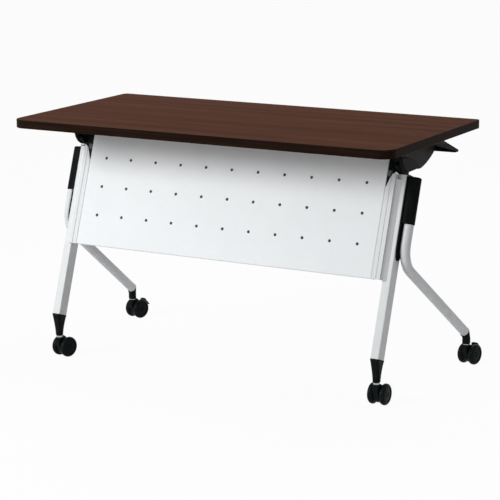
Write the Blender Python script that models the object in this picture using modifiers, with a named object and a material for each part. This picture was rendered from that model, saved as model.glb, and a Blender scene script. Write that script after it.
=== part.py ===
# Flip-top nesting conference table on twin-wheel casters.
# Units are metres: +X runs along the table, +Y points to the seated user, +Z is up.

from math import cos, pi, radians, sin, tan

import bmesh
import bpy
import numpy as np
from mathutils import Matrix, Vector

# Clearances
FIT = 0.0003              # between pieces that touch
RUN = 0.0007              # between pieces that turn past each other

# Table top
TOP_LENGTH = 1.200
TOP_DEPTH = 0.600
TOP_HEIGHT = 0.720
TOP_THICK = 0.024
FRONT_CORNER = 0.040      # plan radius on the modesty panel's side
REAR_CORNER = 0.015       # plan radius on the user's side
BAND_THICK = 0.002
BAND_ROUND = 0.0005

# Flip joint
PIVOT_Y = -0.038
PIVOT_DROP = 0.035        # from the underside of the top
PIVOT_RADIUS = 0.006
PIN_HEAD_RADIUS = 0.010
PIN_HEAD_THICK = 0.0025
FLIP_ANGLE = radians(70)

# Straight leg, a rectangular tube. Its frame starts on the flip axis and leans with the leg,
# so depths are square to the leg and heights run along it.
LEAN = radians(19.8)
LEG_X = 0.5207
LEG_WIDTH = 0.0254
LEG_DEPTH = 0.038
LEG_WALL = 0.0016
LEG_CORNER = 0.003
LEG_BACK = 0.0261         # leg axis behind the flip axis
LEG_TOP = -0.050          # top end of the tube, from the flip axis
LEG_END_HEIGHT = 0.130    # floor to the lower end of the tube's axis

# Head of the straight leg
HEAD_INNER_X = 0.5032
HEAD_OUTER_X = 0.5205
BOSS_RADIUS = 0.029
WINDOW_DEPTH = 0.0055     # stop window in the boss, where the pawl's nose travels
WINDOW_START = radians(-26)
WINDOW_EXTRA = radians(25)
COLLAR_THICK = 0.003
HEAD_INSET = 0.001        # neck inside the collar's edge
PLUG_LENGTH = 0.035
TAIL_END = -0.1085
TAIL_TIP = 0.0055
TAIL_DEPTH = 0.0225
APRON_INNER_X = 0.4822    # wedge that closes the slanted top of the panel's rail
APRON_TOP = -0.0115
APRON_BACK = 0.006

# Bent rear leg, a round tube beside the straight leg
TUBE_RADIUS = 0.014
TUBE_WALL = 0.0018
TUBE_X = 0.5510
TUBE_BACK = 0.0293        # tube axis behind the flip axis
TUBE_TOP = -0.060
BEND_HEIGHT = 0.379       # height of the corner of the centre lines
BEND_RADIUS = 0.070
TUBE_END_HEIGHT = 0.1027  # floor to the lower end of the tube's axis
TUBE_END_AHEAD = 0.008    # end of the tube ahead of the rear caster's stem
TUBE_END_INBOARD = 0.0035

# Spacer and grip sleeve between and round the two legs
SPACER_END = -0.284
SPACER_TIP = 0.014
SLEEVE_TOP = -0.052
SLEEVE_LENGTH = 0.130
SLEEVE_OUTER_X = 0.5667
SLEEVE_SHOULDER_X = 0.5447
SLEEVE_DEPTH = 0.039

# Cross beam
BEAM_SIZE = 0.030
BEAM_WALL = 0.002
BEAM_DROP = 0.0767        # flip axis to the beam's axis, along the leg

# Modesty panel, a folded sheet with punched holes, and its side rails
PANEL_WIDTH = 0.9624
PANEL_TOP = 0.006
PANEL_END = -0.343
PANEL_FRONT = -0.0088     # face ahead of the flip axis
PANEL_SHEET = 0.0012
PANEL_RETURN = 0.012
HOLE_RADIUS = 0.0031
HOLE_PITCH = 0.085
HOLE_COLUMNS = 11
HOLE_ROWS = 3
FIRST_ROW = -0.083
RAIL_SHEET = 0.0015
RAIL_INNER_BACK = 0.010
RAIL_OUTER_BACK = 0.020
RAIL_GROOVE_X = 0.4952
RAIL_GROOVE = 0.0012
RAIL_SLANT_END = -0.097   # lower end of the slanted top, at the panel
RAIL_SLANT_TOP = -0.024   # upper end, at the leg
RAIL_NOTCH_X = 0.5022     # clear of the head's boss
RAIL_NOTCH_END = -0.036
RAIL_FLANGE_END = -0.0505

# Bracket under the top
PLATE_THICK = 0.003
PLATE_INNER_X = 0.470
PLATE_AHEAD = 0.055
PLATE_BEHIND = 0.150
EAR_THICK = 0.003
PIVOT_EAR_RADIUS = 0.018
ROD_EAR_RADIUS = 0.012
EAR_ROOT_AHEAD = 0.030
EAR_ROOT_BEHIND = 0.126

# Hinge cover, a plastic shell outside the bracket
COVER_RADIUS = 0.045
COVER_OUTER_X = 0.536
COVER_WALL = 0.002
COVER_AHEAD = 0.042
COVER_STEP_Y = 0.063
COVER_STEP = 0.002
COVER_HEEL_Y = 0.088
COVER_TOE_Y = 0.177
COVER_TOE_Z = -0.010
COVER_BULGE = 0.0045      # of the tail's lower edge, below its chord
COVER_REAR_SLOPE = 0.003

# Release rod, pawls and paddles
ROD_BACK = 0.110          # behind the flip axis
ROD_RISE = 0.011
ROD_RADIUS = 0.005
PIN_PLAY = 0.0005
HUB_RADIUS = 0.0095
PAWL_START_X = 0.5060
PAWL_WIDTH = 0.0065
PAWL_NOSE = 0.007
PAWL_NOSE_RISE = 0.0005   # foot of the nose above the flip axis
PADDLE_START_X = 0.5135
PADDLE_ARM = 0.0065
PADDLE_TIP_X = 0.600
PADDLE_FRONT = 0.076      # behind the rod
PADDLE_ROOT_CHORD = 0.084
PADDLE_TIP_CHORD = 0.025
PADDLE_ROOT_THICK = 0.014
PADDLE_EDGE = 0.004
PADDLE_DROP = 0.026       # rod to the underside of the root
PADDLE_TIP_RISE = 0.007

# Casters
WHEEL_RADIUS = 0.030
WHEEL_WIDTH = 0.018
WHEEL_ROUND = 0.006
WHEEL_TRACK = 0.035       # between the middles of the two wheels
HUB_RECESS = 0.0025
RECESS_RADIUS = 0.0205
AXLE_RADIUS = 0.003
AXLE_HALF = 0.0245
TRAIL = 0.019
WEB_HALF = 0.0080
WEB_RADIUS = 0.024
HOOD_TOP = 0.0612
HOOD_FLANGE = 0.0012
HOOD_FLANGE_RADIUS = 0.0105
STEM_RADIUS = 0.0055
STEM_FOOT = 0.0445
STEM_IN_SOCKET = 0.024
RING_RADIUS = 0.009
SOCKET_RADIUS = 0.0108
REAR_SOCKET_RADIUS = 0.0118
FRONT_SOCKET_FOOT = 0.0675
REAR_SOCKET_FOOT = 0.0648
REAR_SOCKET_STRAIGHT = 0.020
SOCKET_LIP = 0.001
FRONT_STEM_Y = -0.2046
REAR_STEM_X = 0.576
REAR_STEM_Y = 0.2785
PEDAL_REACH = 0.0365      # wheel's centre to the pedal's pin
PEDAL_BEARING = radians(39)
PEDAL_FALL = radians(-50)
PEDAL_LENGTH = 0.022
PEDAL_WIDTH = 0.026
PEDAL_THICK = 0.003
PEDAL_PIN_RADIUS = 0.0015
PEDAL_TAB_RADIUS = 0.0045
PEDAL_TAB_HALF = 0.0075
SWIVEL = {"front_left": -12, "front_right": 1, "rear_left": -14, "rear_right": -10}

# Worked out from the sizes above
UNDERSIDE = TOP_HEIGHT - TOP_THICK
PIVOT_Z = UNDERSIDE - PIVOT_DROP
LEG_INNER_X = LEG_X - LEG_WIDTH / 2
LEG_OUTER_X = LEG_X + LEG_WIDTH / 2
LEG_FRONT = LEG_BACK - LEG_DEPTH / 2
LEG_REAR = LEG_BACK + LEG_DEPTH / 2
LEG_END = (LEG_END_HEIGHT - PIVOT_Z + LEG_BACK * sin(LEAN)) / cos(LEAN)
TUBE_INNER_X = TUBE_X - TUBE_RADIUS
PANEL_EDGE_X = PANEL_WIDTH / 2
EAR_INNER_X = HEAD_OUTER_X + RUN
EAR_OUTER_X = EAR_INNER_X + EAR_THICK
PLATE_TOP = PIVOT_DROP - FIT
PLATE_FOOT = PLATE_TOP - PLATE_THICK
SIDES = {"left": -1, "right": 1}
ROUND_SIDES = 20
SMALL_SIDES = 12
WHEEL_SIDES = 20           # even, so that a point of the tread meets the floor

FINISHES = {
    "walnut_laminate": ((0.105, 0.052, 0.036), 0.42, 0.0),
    "edge_strip": ((0.022, 0.010, 0.008), 0.45, 0.0),
    "silver_paint": ((0.70, 0.71, 0.71), 0.38, 0.1),
    "white_panel_paint": ((0.80, 0.82, 0.83), 0.45, 0.0),
    "black_plastic": ((0.012, 0.013, 0.013), 0.42, 0.0),
    "black_paint": ((0.015, 0.015, 0.015), 0.50, 0.0),
    "zinc_steel": ((0.55, 0.55, 0.53), 0.35, 1.0),
    "wheel_nylon": ((0.010, 0.011, 0.012), 0.35, 0.0),
}


def new_collection(name):
    collection = bpy.data.collections.new(name)
    bpy.context.scene.collection.children.link(collection)
    return collection


for old_object in list(bpy.data.objects):
    bpy.data.objects.remove(old_object, do_unlink=True)
PARTS = new_collection("conference_table")
CUTTERS = new_collection("cutters")
MATERIALS = {}


def finish(name):
    if name not in MATERIALS:
        colour, roughness, metallic = FINISHES[name]
        material = bpy.data.materials.new(name)
        material.use_nodes = True
        shader = material.node_tree.nodes["Principled BSDF"]
        shader.inputs["Base Color"].default_value = (*colour, 1.0)
        shader.inputs["Roughness"].default_value = roughness
        shader.inputs["Metallic"].default_value = metallic
        MATERIALS[name] = material
    return MATERIALS[name]


def empty(name, parent, location=(0, 0, 0), rotation=(0, 0, 0)):
    holder = bpy.data.objects.new(name, None)
    PARTS.objects.link(holder)
    holder.parent = parent
    holder.location = location
    holder.rotation_euler = rotation
    return holder


def place(mesh, name, material, parent, location=(0, 0, 0), rotation=(0, 0, 0)):
    """Put a mesh among the parts, or among the cutters where it has no material."""
    body = bpy.data.objects.new(name, mesh)
    body.parent = parent
    body.location = location
    body.rotation_euler = rotation
    mesh.shade_smooth()
    mesh.set_sharp_from_angle(angle=radians(32))
    if material is None:
        CUTTERS.objects.link(body)
        body.hide_render = True
        body.display_type = "WIRE"
    else:
        PARTS.objects.link(body)
        mesh.materials.clear()
        mesh.materials.append(finish(material))
    return body


def to_mesh(form, name):
    mesh = bpy.data.meshes.new(name)
    bmesh.ops.recalc_face_normals(form, faces=form.faces)
    form.to_mesh(mesh)
    form.free()
    return mesh


def box(name, low, high, material, parent, **where):
    """A block between two opposite corners."""
    form = bmesh.new()
    bmesh.ops.create_cube(form, size=1.0)
    size = Vector([abs(b - a) for a, b in zip(low, high)])
    bmesh.ops.scale(form, vec=size, verts=form.verts)
    bmesh.ops.translate(form, vec=(Vector(low) + Vector(high)) / 2, verts=form.verts)
    return place(to_mesh(form, name), name, material, parent, **where)


def add_bar(form, radius, start, end, axis, centre, sides):
    """Add a round bar along an axis to a form."""
    turn = {"X": Matrix.Rotation(pi / 2, 4, "Y"), "Y": Matrix.Rotation(-pi / 2, 4, "X"),
            "Z": Matrix.Identity(4)}[axis]
    middle = Matrix.Translation((0, 0, (start + end) / 2))
    bmesh.ops.create_cone(form, cap_ends=True, segments=sides, radius1=radius, radius2=radius,
                          depth=abs(end - start), matrix=Matrix.Translation(centre) @ turn @ middle)


def bar(name, radius, start, end, material, parent, axis="X", centre=(0, 0, 0), sides=ROUND_SIDES, **where):
    form = bmesh.new()
    add_bar(form, radius, start, end, axis, centre, sides)
    return place(to_mesh(form, name), name, material, parent, **where)


def mesh_of_curve(curve):
    """Turn a curve into a welded mesh and drop the curve."""
    guide = bpy.data.objects.new(curve.name, curve)
    bpy.context.scene.collection.objects.link(guide)
    depsgraph = bpy.context.evaluated_depsgraph_get()
    mesh = bpy.data.meshes.new_from_object(guide.evaluated_get(depsgraph))
    bpy.data.objects.remove(guide)
    form = bmesh.new()
    form.from_mesh(mesh)
    bmesh.ops.remove_doubles(form, verts=form.verts, dist=1e-6)
    bmesh.ops.recalc_face_normals(form, faces=form.faces)
    form.to_mesh(mesh)
    form.free()
    bpy.data.curves.remove(curve)
    return mesh


def plate(name, outlines, low, high, material, parent, plane="XY", **where):
    """A flat outline, with further outlines as holes, spanning low to high square to its plane."""
    curve = bpy.data.curves.new(name, "CURVE")
    curve.dimensions = "2D"
    curve.fill_mode = "BOTH"
    curve.extrude = abs(high - low) / 2
    for outline in outlines:
        spline = curve.splines.new("POLY")
        spline.points.add(len(outline) - 1)
        spline.use_cyclic_u = True
        for point, (across, along) in zip(spline.points, outline):
            point.co = (across, along, 0, 1)
    mesh = mesh_of_curve(curve)
    mesh.transform(Matrix.Translation((0, 0, (low + high) / 2)))
    if plane == "YZ":
        mesh.transform(Matrix(((0, 0, 1, 0), (1, 0, 0, 0), (0, 1, 0, 0), (0, 0, 0, 1))))
    return place(mesh, name, material, parent, **where)


def tube(name, points, radius, material, parent, **where):
    """A round bar along a polyline."""
    curve = bpy.data.curves.new(name, "CURVE")
    curve.dimensions = "3D"
    curve.bevel_depth = radius
    curve.bevel_resolution = 6
    curve.use_fill_caps = True
    spline = curve.splines.new("POLY")
    spline.points.add(len(points) - 1)
    for point, location in zip(spline.points, points):
        point.co = (*location, 1)
    return place(mesh_of_curve(curve), name, material, parent, **where)


def loft(name, rings, material, parent, **where):
    """Closed skin through rings of as many points each."""
    form = bmesh.new()
    loops = [[form.verts.new(point) for point in ring] for ring in rings]
    form.faces.new(loops[0])
    form.faces.new(loops[-1])
    for lower, upper in zip(loops, loops[1:]):
        for index in range(len(lower)):
            following = (index + 1) % len(lower)
            form.faces.new((lower[index], lower[following], upper[following], upper[index]))
    return place(to_mesh(form, name), name, material, parent, **where)


def turned(name, profile, closed, material, parent, sides=ROUND_SIDES, **where):
    """A profile of radius and height, run round the Z axis."""
    mesh = bpy.data.meshes.new(name)
    edges = [(index, index + 1) for index in range(len(profile) - 1)]
    if closed:
        edges.append((len(profile) - 1, 0))
    mesh.from_pydata([(radius, 0, height) for radius, height in profile], edges, [])
    body = place(mesh, name, material, parent, **where)
    screw = body.modifiers.new("turn", "SCREW")
    screw.axis = "Z"
    screw.steps = sides
    screw.render_steps = sides
    screw.use_merge_vertices = True
    screw.merge_threshold = 1e-6
    return body


def combine(body, other, operation):
    step = body.modifiers.new(other.name, "BOOLEAN")
    step.operation = operation
    step.solver = "EXACT"
    step.object = other


def cut(body, *cutters):
    for cutter in cutters:
        combine(body, cutter, "DIFFERENCE")


def join(body, *others):
    for other in others:
        combine(body, other, "UNION")


def arc(centre, radius, start, end, steps):
    """Points on a circle, both ends included."""
    angles = [start + (end - start) * step / steps for step in range(steps + 1)]
    return [(centre[0] + radius * cos(angle), centre[1] + radius * sin(angle)) for angle in angles]


def rounded(width, depth, radius, centre=(0, 0), steps=4):
    """Outline of a rectangle with round corners."""
    points = []
    for quarter, (right, back) in enumerate(((1, 1), (-1, 1), (-1, -1), (1, -1))):
        corner = (centre[0] + right * (width / 2 - radius), centre[1] + back * (depth / 2 - radius))
        points += arc(corner, radius, quarter * pi / 2, (quarter + 1) * pi / 2, steps)
    return points


def mirrored(points, side):
    return [(side * across, along) for across, along in points]


def lean_point(back, rise):
    """Y and Z of a point given in the leaning frame of the legs."""
    return (PIVOT_Y + back * cos(LEAN) + rise * sin(LEAN), PIVOT_Z - back * sin(LEAN) + rise * cos(LEAN))


def lean_rise(back, height):
    """Distance along the leg of the point at a height above the floor."""
    return (height - PIVOT_Z + back * sin(LEAN)) / cos(LEAN)


def table_outline(inset):
    """Plan of the top, drawn inside its edge by an inset."""
    corners = ((1, 1, REAR_CORNER), (-1, 1, REAR_CORNER), (-1, -1, FRONT_CORNER), (1, -1, FRONT_CORNER))
    points = []
    for quarter, (right, back, radius) in enumerate(corners):
        corner = (right * (TOP_LENGTH / 2 - radius), back * (TOP_DEPTH / 2 - radius))
        points += arc(corner, radius - inset, quarter * pi / 2, (quarter + 1) * pi / 2, 7)
    return points


def make_top(flip):
    """Board and edge strip, drawn about the middle of the table."""
    where = {"location": (0, -PIVOT_Y, -PIVOT_Z)}
    plate("table_top", [table_outline(BAND_THICK + FIT)], UNDERSIDE, TOP_HEIGHT, "walnut_laminate", flip,
          **where)
    band = plate("edge_band", [table_outline(0), table_outline(BAND_THICK)], UNDERSIDE, TOP_HEIGHT,
                 "edge_strip", flip, **where)
    soften = band.modifiers.new("soften", "BEVEL")
    soften.width = BAND_ROUND
    soften.segments = 1
    soften.limit_method = "ANGLE"
    soften.angle_limit = radians(60)


def make_bracket(name, side, flip):
    """Steel plate under the top with an ear for the pivot pin and the release rod."""
    body = box(f"top_bracket_{name}", (side * PLATE_INNER_X, -PLATE_AHEAD, PLATE_FOOT),
               (side * EAR_OUTER_X, PLATE_BEHIND, PLATE_TOP), "black_paint", flip)
    rod = (ROD_BACK, ROD_RISE)
    root = PLATE_FOOT + PLATE_THICK / 2
    outline = [(EAR_ROOT_BEHIND, root), (-EAR_ROOT_AHEAD, root)]
    outline += arc((0, 0), PIVOT_EAR_RADIUS, radians(165), radians(285), 8)
    outline += arc(rod, ROD_EAR_RADIUS, radians(285), radians(365), 6)
    join(body, plate(f"ear_{name}", [outline], side * EAR_INNER_X, side * EAR_OUTER_X, None, flip, "YZ"))
    reach = (side * (EAR_INNER_X - EAR_THICK), side * (EAR_OUTER_X + EAR_THICK))
    cut(body, bar(f"ear_bore_{name}", PIVOT_RADIUS + PIN_PLAY, *reach, None, flip),
        bar(f"rod_bore_{name}", ROD_RADIUS + PIN_PLAY, *reach, None, flip, centre=(0, *rod)))


def cover_outline(inset, top):
    """Side view of the hinge cover: a disc on the flip axis with a tapering tail."""
    heel = -COVER_RADIUS - COVER_STEP + inset
    outline = [(COVER_TOE_Y + COVER_REAR_SLOPE - inset, top), (-COVER_AHEAD + inset, top)]
    outline += arc((0, 0), COVER_RADIUS - inset, radians(175), radians(270), 10)
    outline += [(COVER_STEP_Y, -COVER_RADIUS + inset), (COVER_STEP_Y + COVER_STEP, heel)]
    toe = (COVER_TOE_Y - inset, COVER_TOE_Z + inset)
    start = (COVER_HEEL_Y - inset / 2, heel)
    for step in range(7):
        share = step / 6
        sag = 4 * COVER_BULGE * share * (1 - share)
        outline.append((start[0] + (toe[0] - start[0]) * share + sag / 2, start[1] + (toe[1] - start[1]) * share - sag))
    return outline


def make_cover(name, side, flip):
    inner_x = EAR_OUTER_X + FIT
    body = plate(f"hinge_cover_{name}", [cover_outline(0, PIVOT_DROP - FIT)], side * inner_x,
                 side * COVER_OUTER_X, "black_plastic", flip, "YZ")
    cut(body, plate(f"cover_hollow_{name}", [cover_outline(COVER_WALL, PIVOT_DROP + COVER_WALL)],
                    side * (inner_x - COVER_WALL), side * (COVER_OUTER_X - COVER_WALL), None, flip, "YZ"))


def rail_slant(x):
    """Rise of the rail's slanted top at a distance from the middle of the table."""
    return RAIL_SLANT_END + (x - PANEL_EDGE_X) * (RAIL_SLANT_TOP - RAIL_SLANT_END) / (LEG_INNER_X - PANEL_EDGE_X)


def make_head(name, side, lean):
    """Head of the straight leg: boss with its stop window, neck, collar, plug and tail."""
    front, rear = LEG_FRONT + HEAD_INSET, LEG_REAR - HEAD_INSET
    foot = LEG_TOP + FIT + COLLAR_THICK / 2
    first, last = WINDOW_START + LEAN, FLIP_ANGLE + WINDOW_EXTRA + LEAN
    outline = arc((0, 0), BOSS_RADIUS, last, radians(215), 10)
    outline += [(front, foot), (rear, foot), (rear, foot + BOSS_RADIUS / 2)]
    outline += arc((0, 0), BOSS_RADIUS, radians(-18), first, 2)
    outline += arc((0, 0), BOSS_RADIUS - WINDOW_DEPTH, first, last, 14)
    body = plate(f"leg_head_{name}", [outline], side * HEAD_INNER_X, side * HEAD_OUTER_X,
                 "black_plastic", lean, "YZ")
    collar = box(f"collar_{name}", (side * LEG_INNER_X, LEG_FRONT, LEG_TOP + FIT),
                 (side * LEG_OUTER_X, LEG_REAR, LEG_TOP + FIT + COLLAR_THICK), None, lean)
    plug_outline = rounded(LEG_WIDTH - 2 * (LEG_WALL + FIT), LEG_DEPTH - 2 * (LEG_WALL + FIT),
                           LEG_CORNER - LEG_WALL, (side * LEG_X, LEG_BACK))
    plug = plate(f"plug_{name}", [plug_outline], LEG_TOP - PLUG_LENGTH, foot, None, lean)
    shoulder = foot + 2 * COLLAR_THICK
    tail_outline = [(rear - TAIL_DEPTH, shoulder), (rear, shoulder), (rear, TAIL_END),
                    (rear - TAIL_TIP, TAIL_END), (rear - TAIL_DEPTH, LEG_TOP - 4 * COLLAR_THICK)]
    tail = plate(f"tail_{name}", [tail_outline], side * HEAD_INNER_X, side * (LEG_INNER_X - FIT), None,
                 lean, "YZ")
    apron_outline = [(APRON_INNER_X, APRON_TOP), (HEAD_INNER_X + RUN, APRON_TOP), (HEAD_INNER_X + RUN, RAIL_NOTCH_END),
                     (RAIL_NOTCH_X, RAIL_NOTCH_END - COLLAR_THICK),
                     (APRON_INNER_X, rail_slant(PANEL_EDGE_X + RAIL_SHEET + 2 * RUN))]
    apron = plate(f"apron_{name}", [mirrored(apron_outline, side)], -APRON_BACK, -PANEL_FRONT - RAIL_SHEET - RUN,
                  None, lean, rotation=(pi / 2, 0, 0))
    join(body, collar, plug, tail, apron)
    cut(body, bar(f"head_bore_{name}", PIVOT_RADIUS + FIT, side * (HEAD_INNER_X - COLLAR_THICK),
                  side * (HEAD_OUTER_X + COLLAR_THICK), None, lean))


def make_pin(name, side, lean):
    """Pivot pin with a head inside the leg's head and a rivet head inside the cover."""
    head = HEAD_INNER_X - FIT
    rivet = EAR_OUTER_X + FIT
    start, end = head - PIN_HEAD_THICK, rivet + PIN_HEAD_THICK
    pin = bar(f"pivot_pin_{name}", PIVOT_RADIUS, side * start, side * end, "zinc_steel", lean)
    join(pin, bar(f"pin_head_{name}", PIN_HEAD_RADIUS, side * start, side * head, None, lean),
         bar(f"pin_rivet_{name}", PIN_HEAD_RADIUS, side * rivet, side * end, None, lean))


def make_leg(name, side, lean):
    centre = (side * LEG_X, LEG_BACK)
    outer = rounded(LEG_WIDTH, LEG_DEPTH, LEG_CORNER, centre)
    inner = rounded(LEG_WIDTH - 2 * LEG_WALL, LEG_DEPTH - 2 * LEG_WALL, LEG_CORNER - LEG_WALL, centre)
    plate(f"leg_{name}", [outer, inner], LEG_END, LEG_TOP, "silver_paint", lean)


def section(centre, width, depth, radius, tilt):
    """Rounded section whose depth direction falls away by a tilt."""
    radius = min(radius, width / 2 - FIT, depth / 2 - FIT)
    points = rounded(width, depth, radius, steps=5)
    return [(centre[0] + across, centre[1] + along * cos(tilt), centre[2] - along * sin(tilt))
            for across, along in points]


def make_front_socket(name, side, assembly):
    """Boot that tapers from the leg's rectangle to a round foot, with a plug up inside the leg."""
    x = side * LEG_X
    end = Vector((x, *lean_point(LEG_BACK, LEG_END - FIT)))
    top = Vector((x, *lean_point(LEG_BACK, LEG_END + PLUG_LENGTH)))
    lip = (LEG_WIDTH + 2 * SOCKET_LIP, LEG_DEPTH + 2 * SOCKET_LIP)
    plug = (LEG_WIDTH - 2 * (LEG_WALL + FIT), LEG_DEPTH - 2 * (LEG_WALL + FIT))
    bend = LEG_CORNER - LEG_WALL
    rings = [section(top, *plug, bend, LEAN), section(end, *plug, bend, LEAN),
             section(end, *lip, LEG_CORNER + SOCKET_LIP, LEAN)]
    foot = Vector((x, FRONT_STEM_Y, FRONT_SOCKET_FOOT))
    stations = 6
    for station in range(1, stations + 1):
        share = station / stations
        ease = sin(share * pi / 2)
        width = lip[0] + (2 * SOCKET_RADIUS - lip[0]) * ease
        depth = lip[1] + (2 * SOCKET_RADIUS - lip[1]) * ease
        corner = (LEG_CORNER + SOCKET_LIP) * (1 - share) + SOCKET_RADIUS * share
        rings.append(section(end.lerp(foot, share), width, depth, corner, LEAN * (1 - share)))
    body = loft(f"front_socket_{name}", rings, "black_plastic", assembly)
    cut(body, bar(f"front_bore_{name}", STEM_RADIUS + FIT, -STEM_RADIUS, STEM_IN_SOCKET + FIT, None, assembly,
                  "Z", foot))


def tube_corners(side):
    """Centre line of the bent tube: top, corner of the bend and lower end."""
    top = Vector((side * TUBE_X, *lean_point(TUBE_BACK, TUBE_TOP)))
    corner = Vector((side * TUBE_X, *lean_point(TUBE_BACK, lean_rise(TUBE_BACK, BEND_HEIGHT))))
    end = Vector((side * (REAR_STEM_X - TUBE_END_INBOARD), REAR_STEM_Y - TUBE_END_AHEAD, TUBE_END_HEIGHT))
    return top, corner, end


def bend_points(top, corner, end, steps=9):
    """Arc of the bend between the two straight stretches."""
    up, down = (top - corner).normalized(), (end - corner).normalized()
    half = up.angle(down) / 2
    centre = corner + (up + down).normalized() * BEND_RADIUS / sin(half)
    first = (corner + up * BEND_RADIUS / tan(half) - centre).normalized()
    last = (corner + down * BEND_RADIUS / tan(half) - centre).normalized()
    return [centre + first.slerp(last, step / steps) * BEND_RADIUS for step in range(steps + 1)]


def make_rear_leg(name, side, assembly):
    top, corner, end = tube_corners(side)
    bend = bend_points(top, corner, end)
    body = tube(f"rear_leg_{name}", [top, *bend, end], TUBE_RADIUS, "silver_paint", assembly)
    past_top = top + (top - corner).normalized() * TUBE_WALL
    past_end = end + (end - corner).normalized() * TUBE_WALL
    cut(body, tube(f"tube_bore_{name}", [past_top, *bend, past_end], TUBE_RADIUS - TUBE_WALL, None, assembly))


def circle(centre, radius, normal):
    """Circle square to a normal, started from the X direction."""
    across = Vector((1, 0, 0))
    first = (across - normal * across.dot(normal)).normalized()
    second = normal.cross(first)
    angles = [2 * pi * step / ROUND_SIDES for step in range(ROUND_SIDES)]
    return [centre + first * radius * cos(angle) + second * radius * sin(angle) for angle in angles]


def make_rear_socket(name, side, assembly):
    """Elbow from the caster's upright collar to the plug in the slanting tube."""
    _, corner, end = tube_corners(side)
    along, up = (corner - end).normalized(), Vector((0, 0, 1))
    foot = Vector((side * REAR_STEM_X, REAR_STEM_Y, REAR_SOCKET_FOOT))
    shoulder = foot + up * REAR_SOCKET_STRAIGHT
    lip = TUBE_RADIUS + SOCKET_LIP / 2
    plug = TUBE_RADIUS - TUBE_WALL - FIT
    seat = end - along * FIT
    rings = [circle(foot, REAR_SOCKET_RADIUS, up), circle(shoulder, REAR_SOCKET_RADIUS, up)]
    for share in (1 / 3, 2 / 3):
        radius = REAR_SOCKET_RADIUS + (lip - REAR_SOCKET_RADIUS) * share
        rings.append(circle(shoulder.lerp(seat, share), radius, up.slerp(along, share)))
    rings += [circle(seat, lip, along), circle(seat, plug, along), circle(seat + along * PLUG_LENGTH / 2, plug, along)]
    body = loft(f"rear_socket_{name}", rings, "black_plastic", assembly)
    cut(body, bar(f"rear_bore_{name}", STEM_RADIUS + FIT, -STEM_RADIUS, STEM_IN_SOCKET + FIT, None, assembly,
                  "Z", foot))


def make_spacer(name, side, lean):
    """Plate between the two legs, with a tapered, rounded lower end."""
    shoulder = SPACER_END + 2 * SPACER_TIP
    outline = [(LEG_REAR, SLEEVE_TOP), (LEG_FRONT, SLEEVE_TOP), (LEG_FRONT, shoulder)]
    outline += arc((LEG_BACK, SPACER_END + SPACER_TIP), SPACER_TIP, radians(200), radians(340), 8)
    outline += [(LEG_REAR, shoulder)]
    plate(f"leg_spacer_{name}", [outline], side * (LEG_OUTER_X + FIT), side * (TUBE_INNER_X - FIT),
          "black_plastic", lean, "YZ")


def make_sleeve(name, side, lean):
    """Grip sleeve, flat where it lies on the spacer, with a closed top."""
    base = TUBE_INNER_X + FIT
    half = SLEEVE_DEPTH / 2
    swell = SLEEVE_OUTER_X - SLEEVE_SHOULDER_X
    outline = [(base, TUBE_BACK + half), (base, TUBE_BACK - half)]
    for across, along in arc((0, 0), 1, -pi / 2, pi / 2, 16):
        outline.append((SLEEVE_SHOULDER_X + swell * across, TUBE_BACK + half * along))
    body = plate(f"grip_sleeve_{name}", [mirrored(outline, side)], SLEEVE_TOP - SLEEVE_LENGTH, SLEEVE_TOP,
                 "black_plastic", lean)
    cut(body, bar(f"sleeve_bore_{name}", TUBE_RADIUS + FIT, SLEEVE_TOP - 2 * SLEEVE_LENGTH, TUBE_TOP + FIT,
                  None, lean, "Z", (side * TUBE_X, TUBE_BACK, 0)))


def make_beam(lean):
    end = HEAD_INNER_X - FIT
    centre = (LEG_BACK, -BEAM_DROP)
    outer = rounded(BEAM_SIZE, BEAM_SIZE, LEG_CORNER, centre)
    inner = rounded(BEAM_SIZE - 2 * BEAM_WALL, BEAM_SIZE - 2 * BEAM_WALL, LEG_CORNER - BEAM_WALL, centre)
    plate("cross_beam", [outer, inner], -end, end, "silver_paint", lean, "YZ")


def make_panel(lean):
    """Tray folded from sheet, open at the back, with a grid of punched holes."""
    back = PANEL_FRONT + PANEL_RETURN
    body = box("modesty_panel", (-PANEL_EDGE_X, PANEL_FRONT, PANEL_END), (PANEL_EDGE_X, back, PANEL_TOP),
               "white_panel_paint", lean)
    inside = PANEL_EDGE_X - PANEL_SHEET
    hollow = box("panel_hollow", (-inside, PANEL_FRONT + PANEL_SHEET, PANEL_END + PANEL_SHEET),
                 (inside, back + PANEL_RETURN, PANEL_TOP - PANEL_SHEET), None, lean)
    form = bmesh.new()
    for row in range(HOLE_ROWS):
        for column in range(HOLE_COLUMNS):
            centre = ((column - (HOLE_COLUMNS - 1) / 2) * HOLE_PITCH, PANEL_FRONT, FIRST_ROW - row * HOLE_PITCH)
            add_bar(form, HOLE_RADIUS, -2 * PANEL_SHEET, 2 * PANEL_SHEET, "Y", centre, SMALL_SIDES)
    cut(body, hollow, place(to_mesh(form, "punched_holes"), "punched_holes", None, lean))


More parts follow.
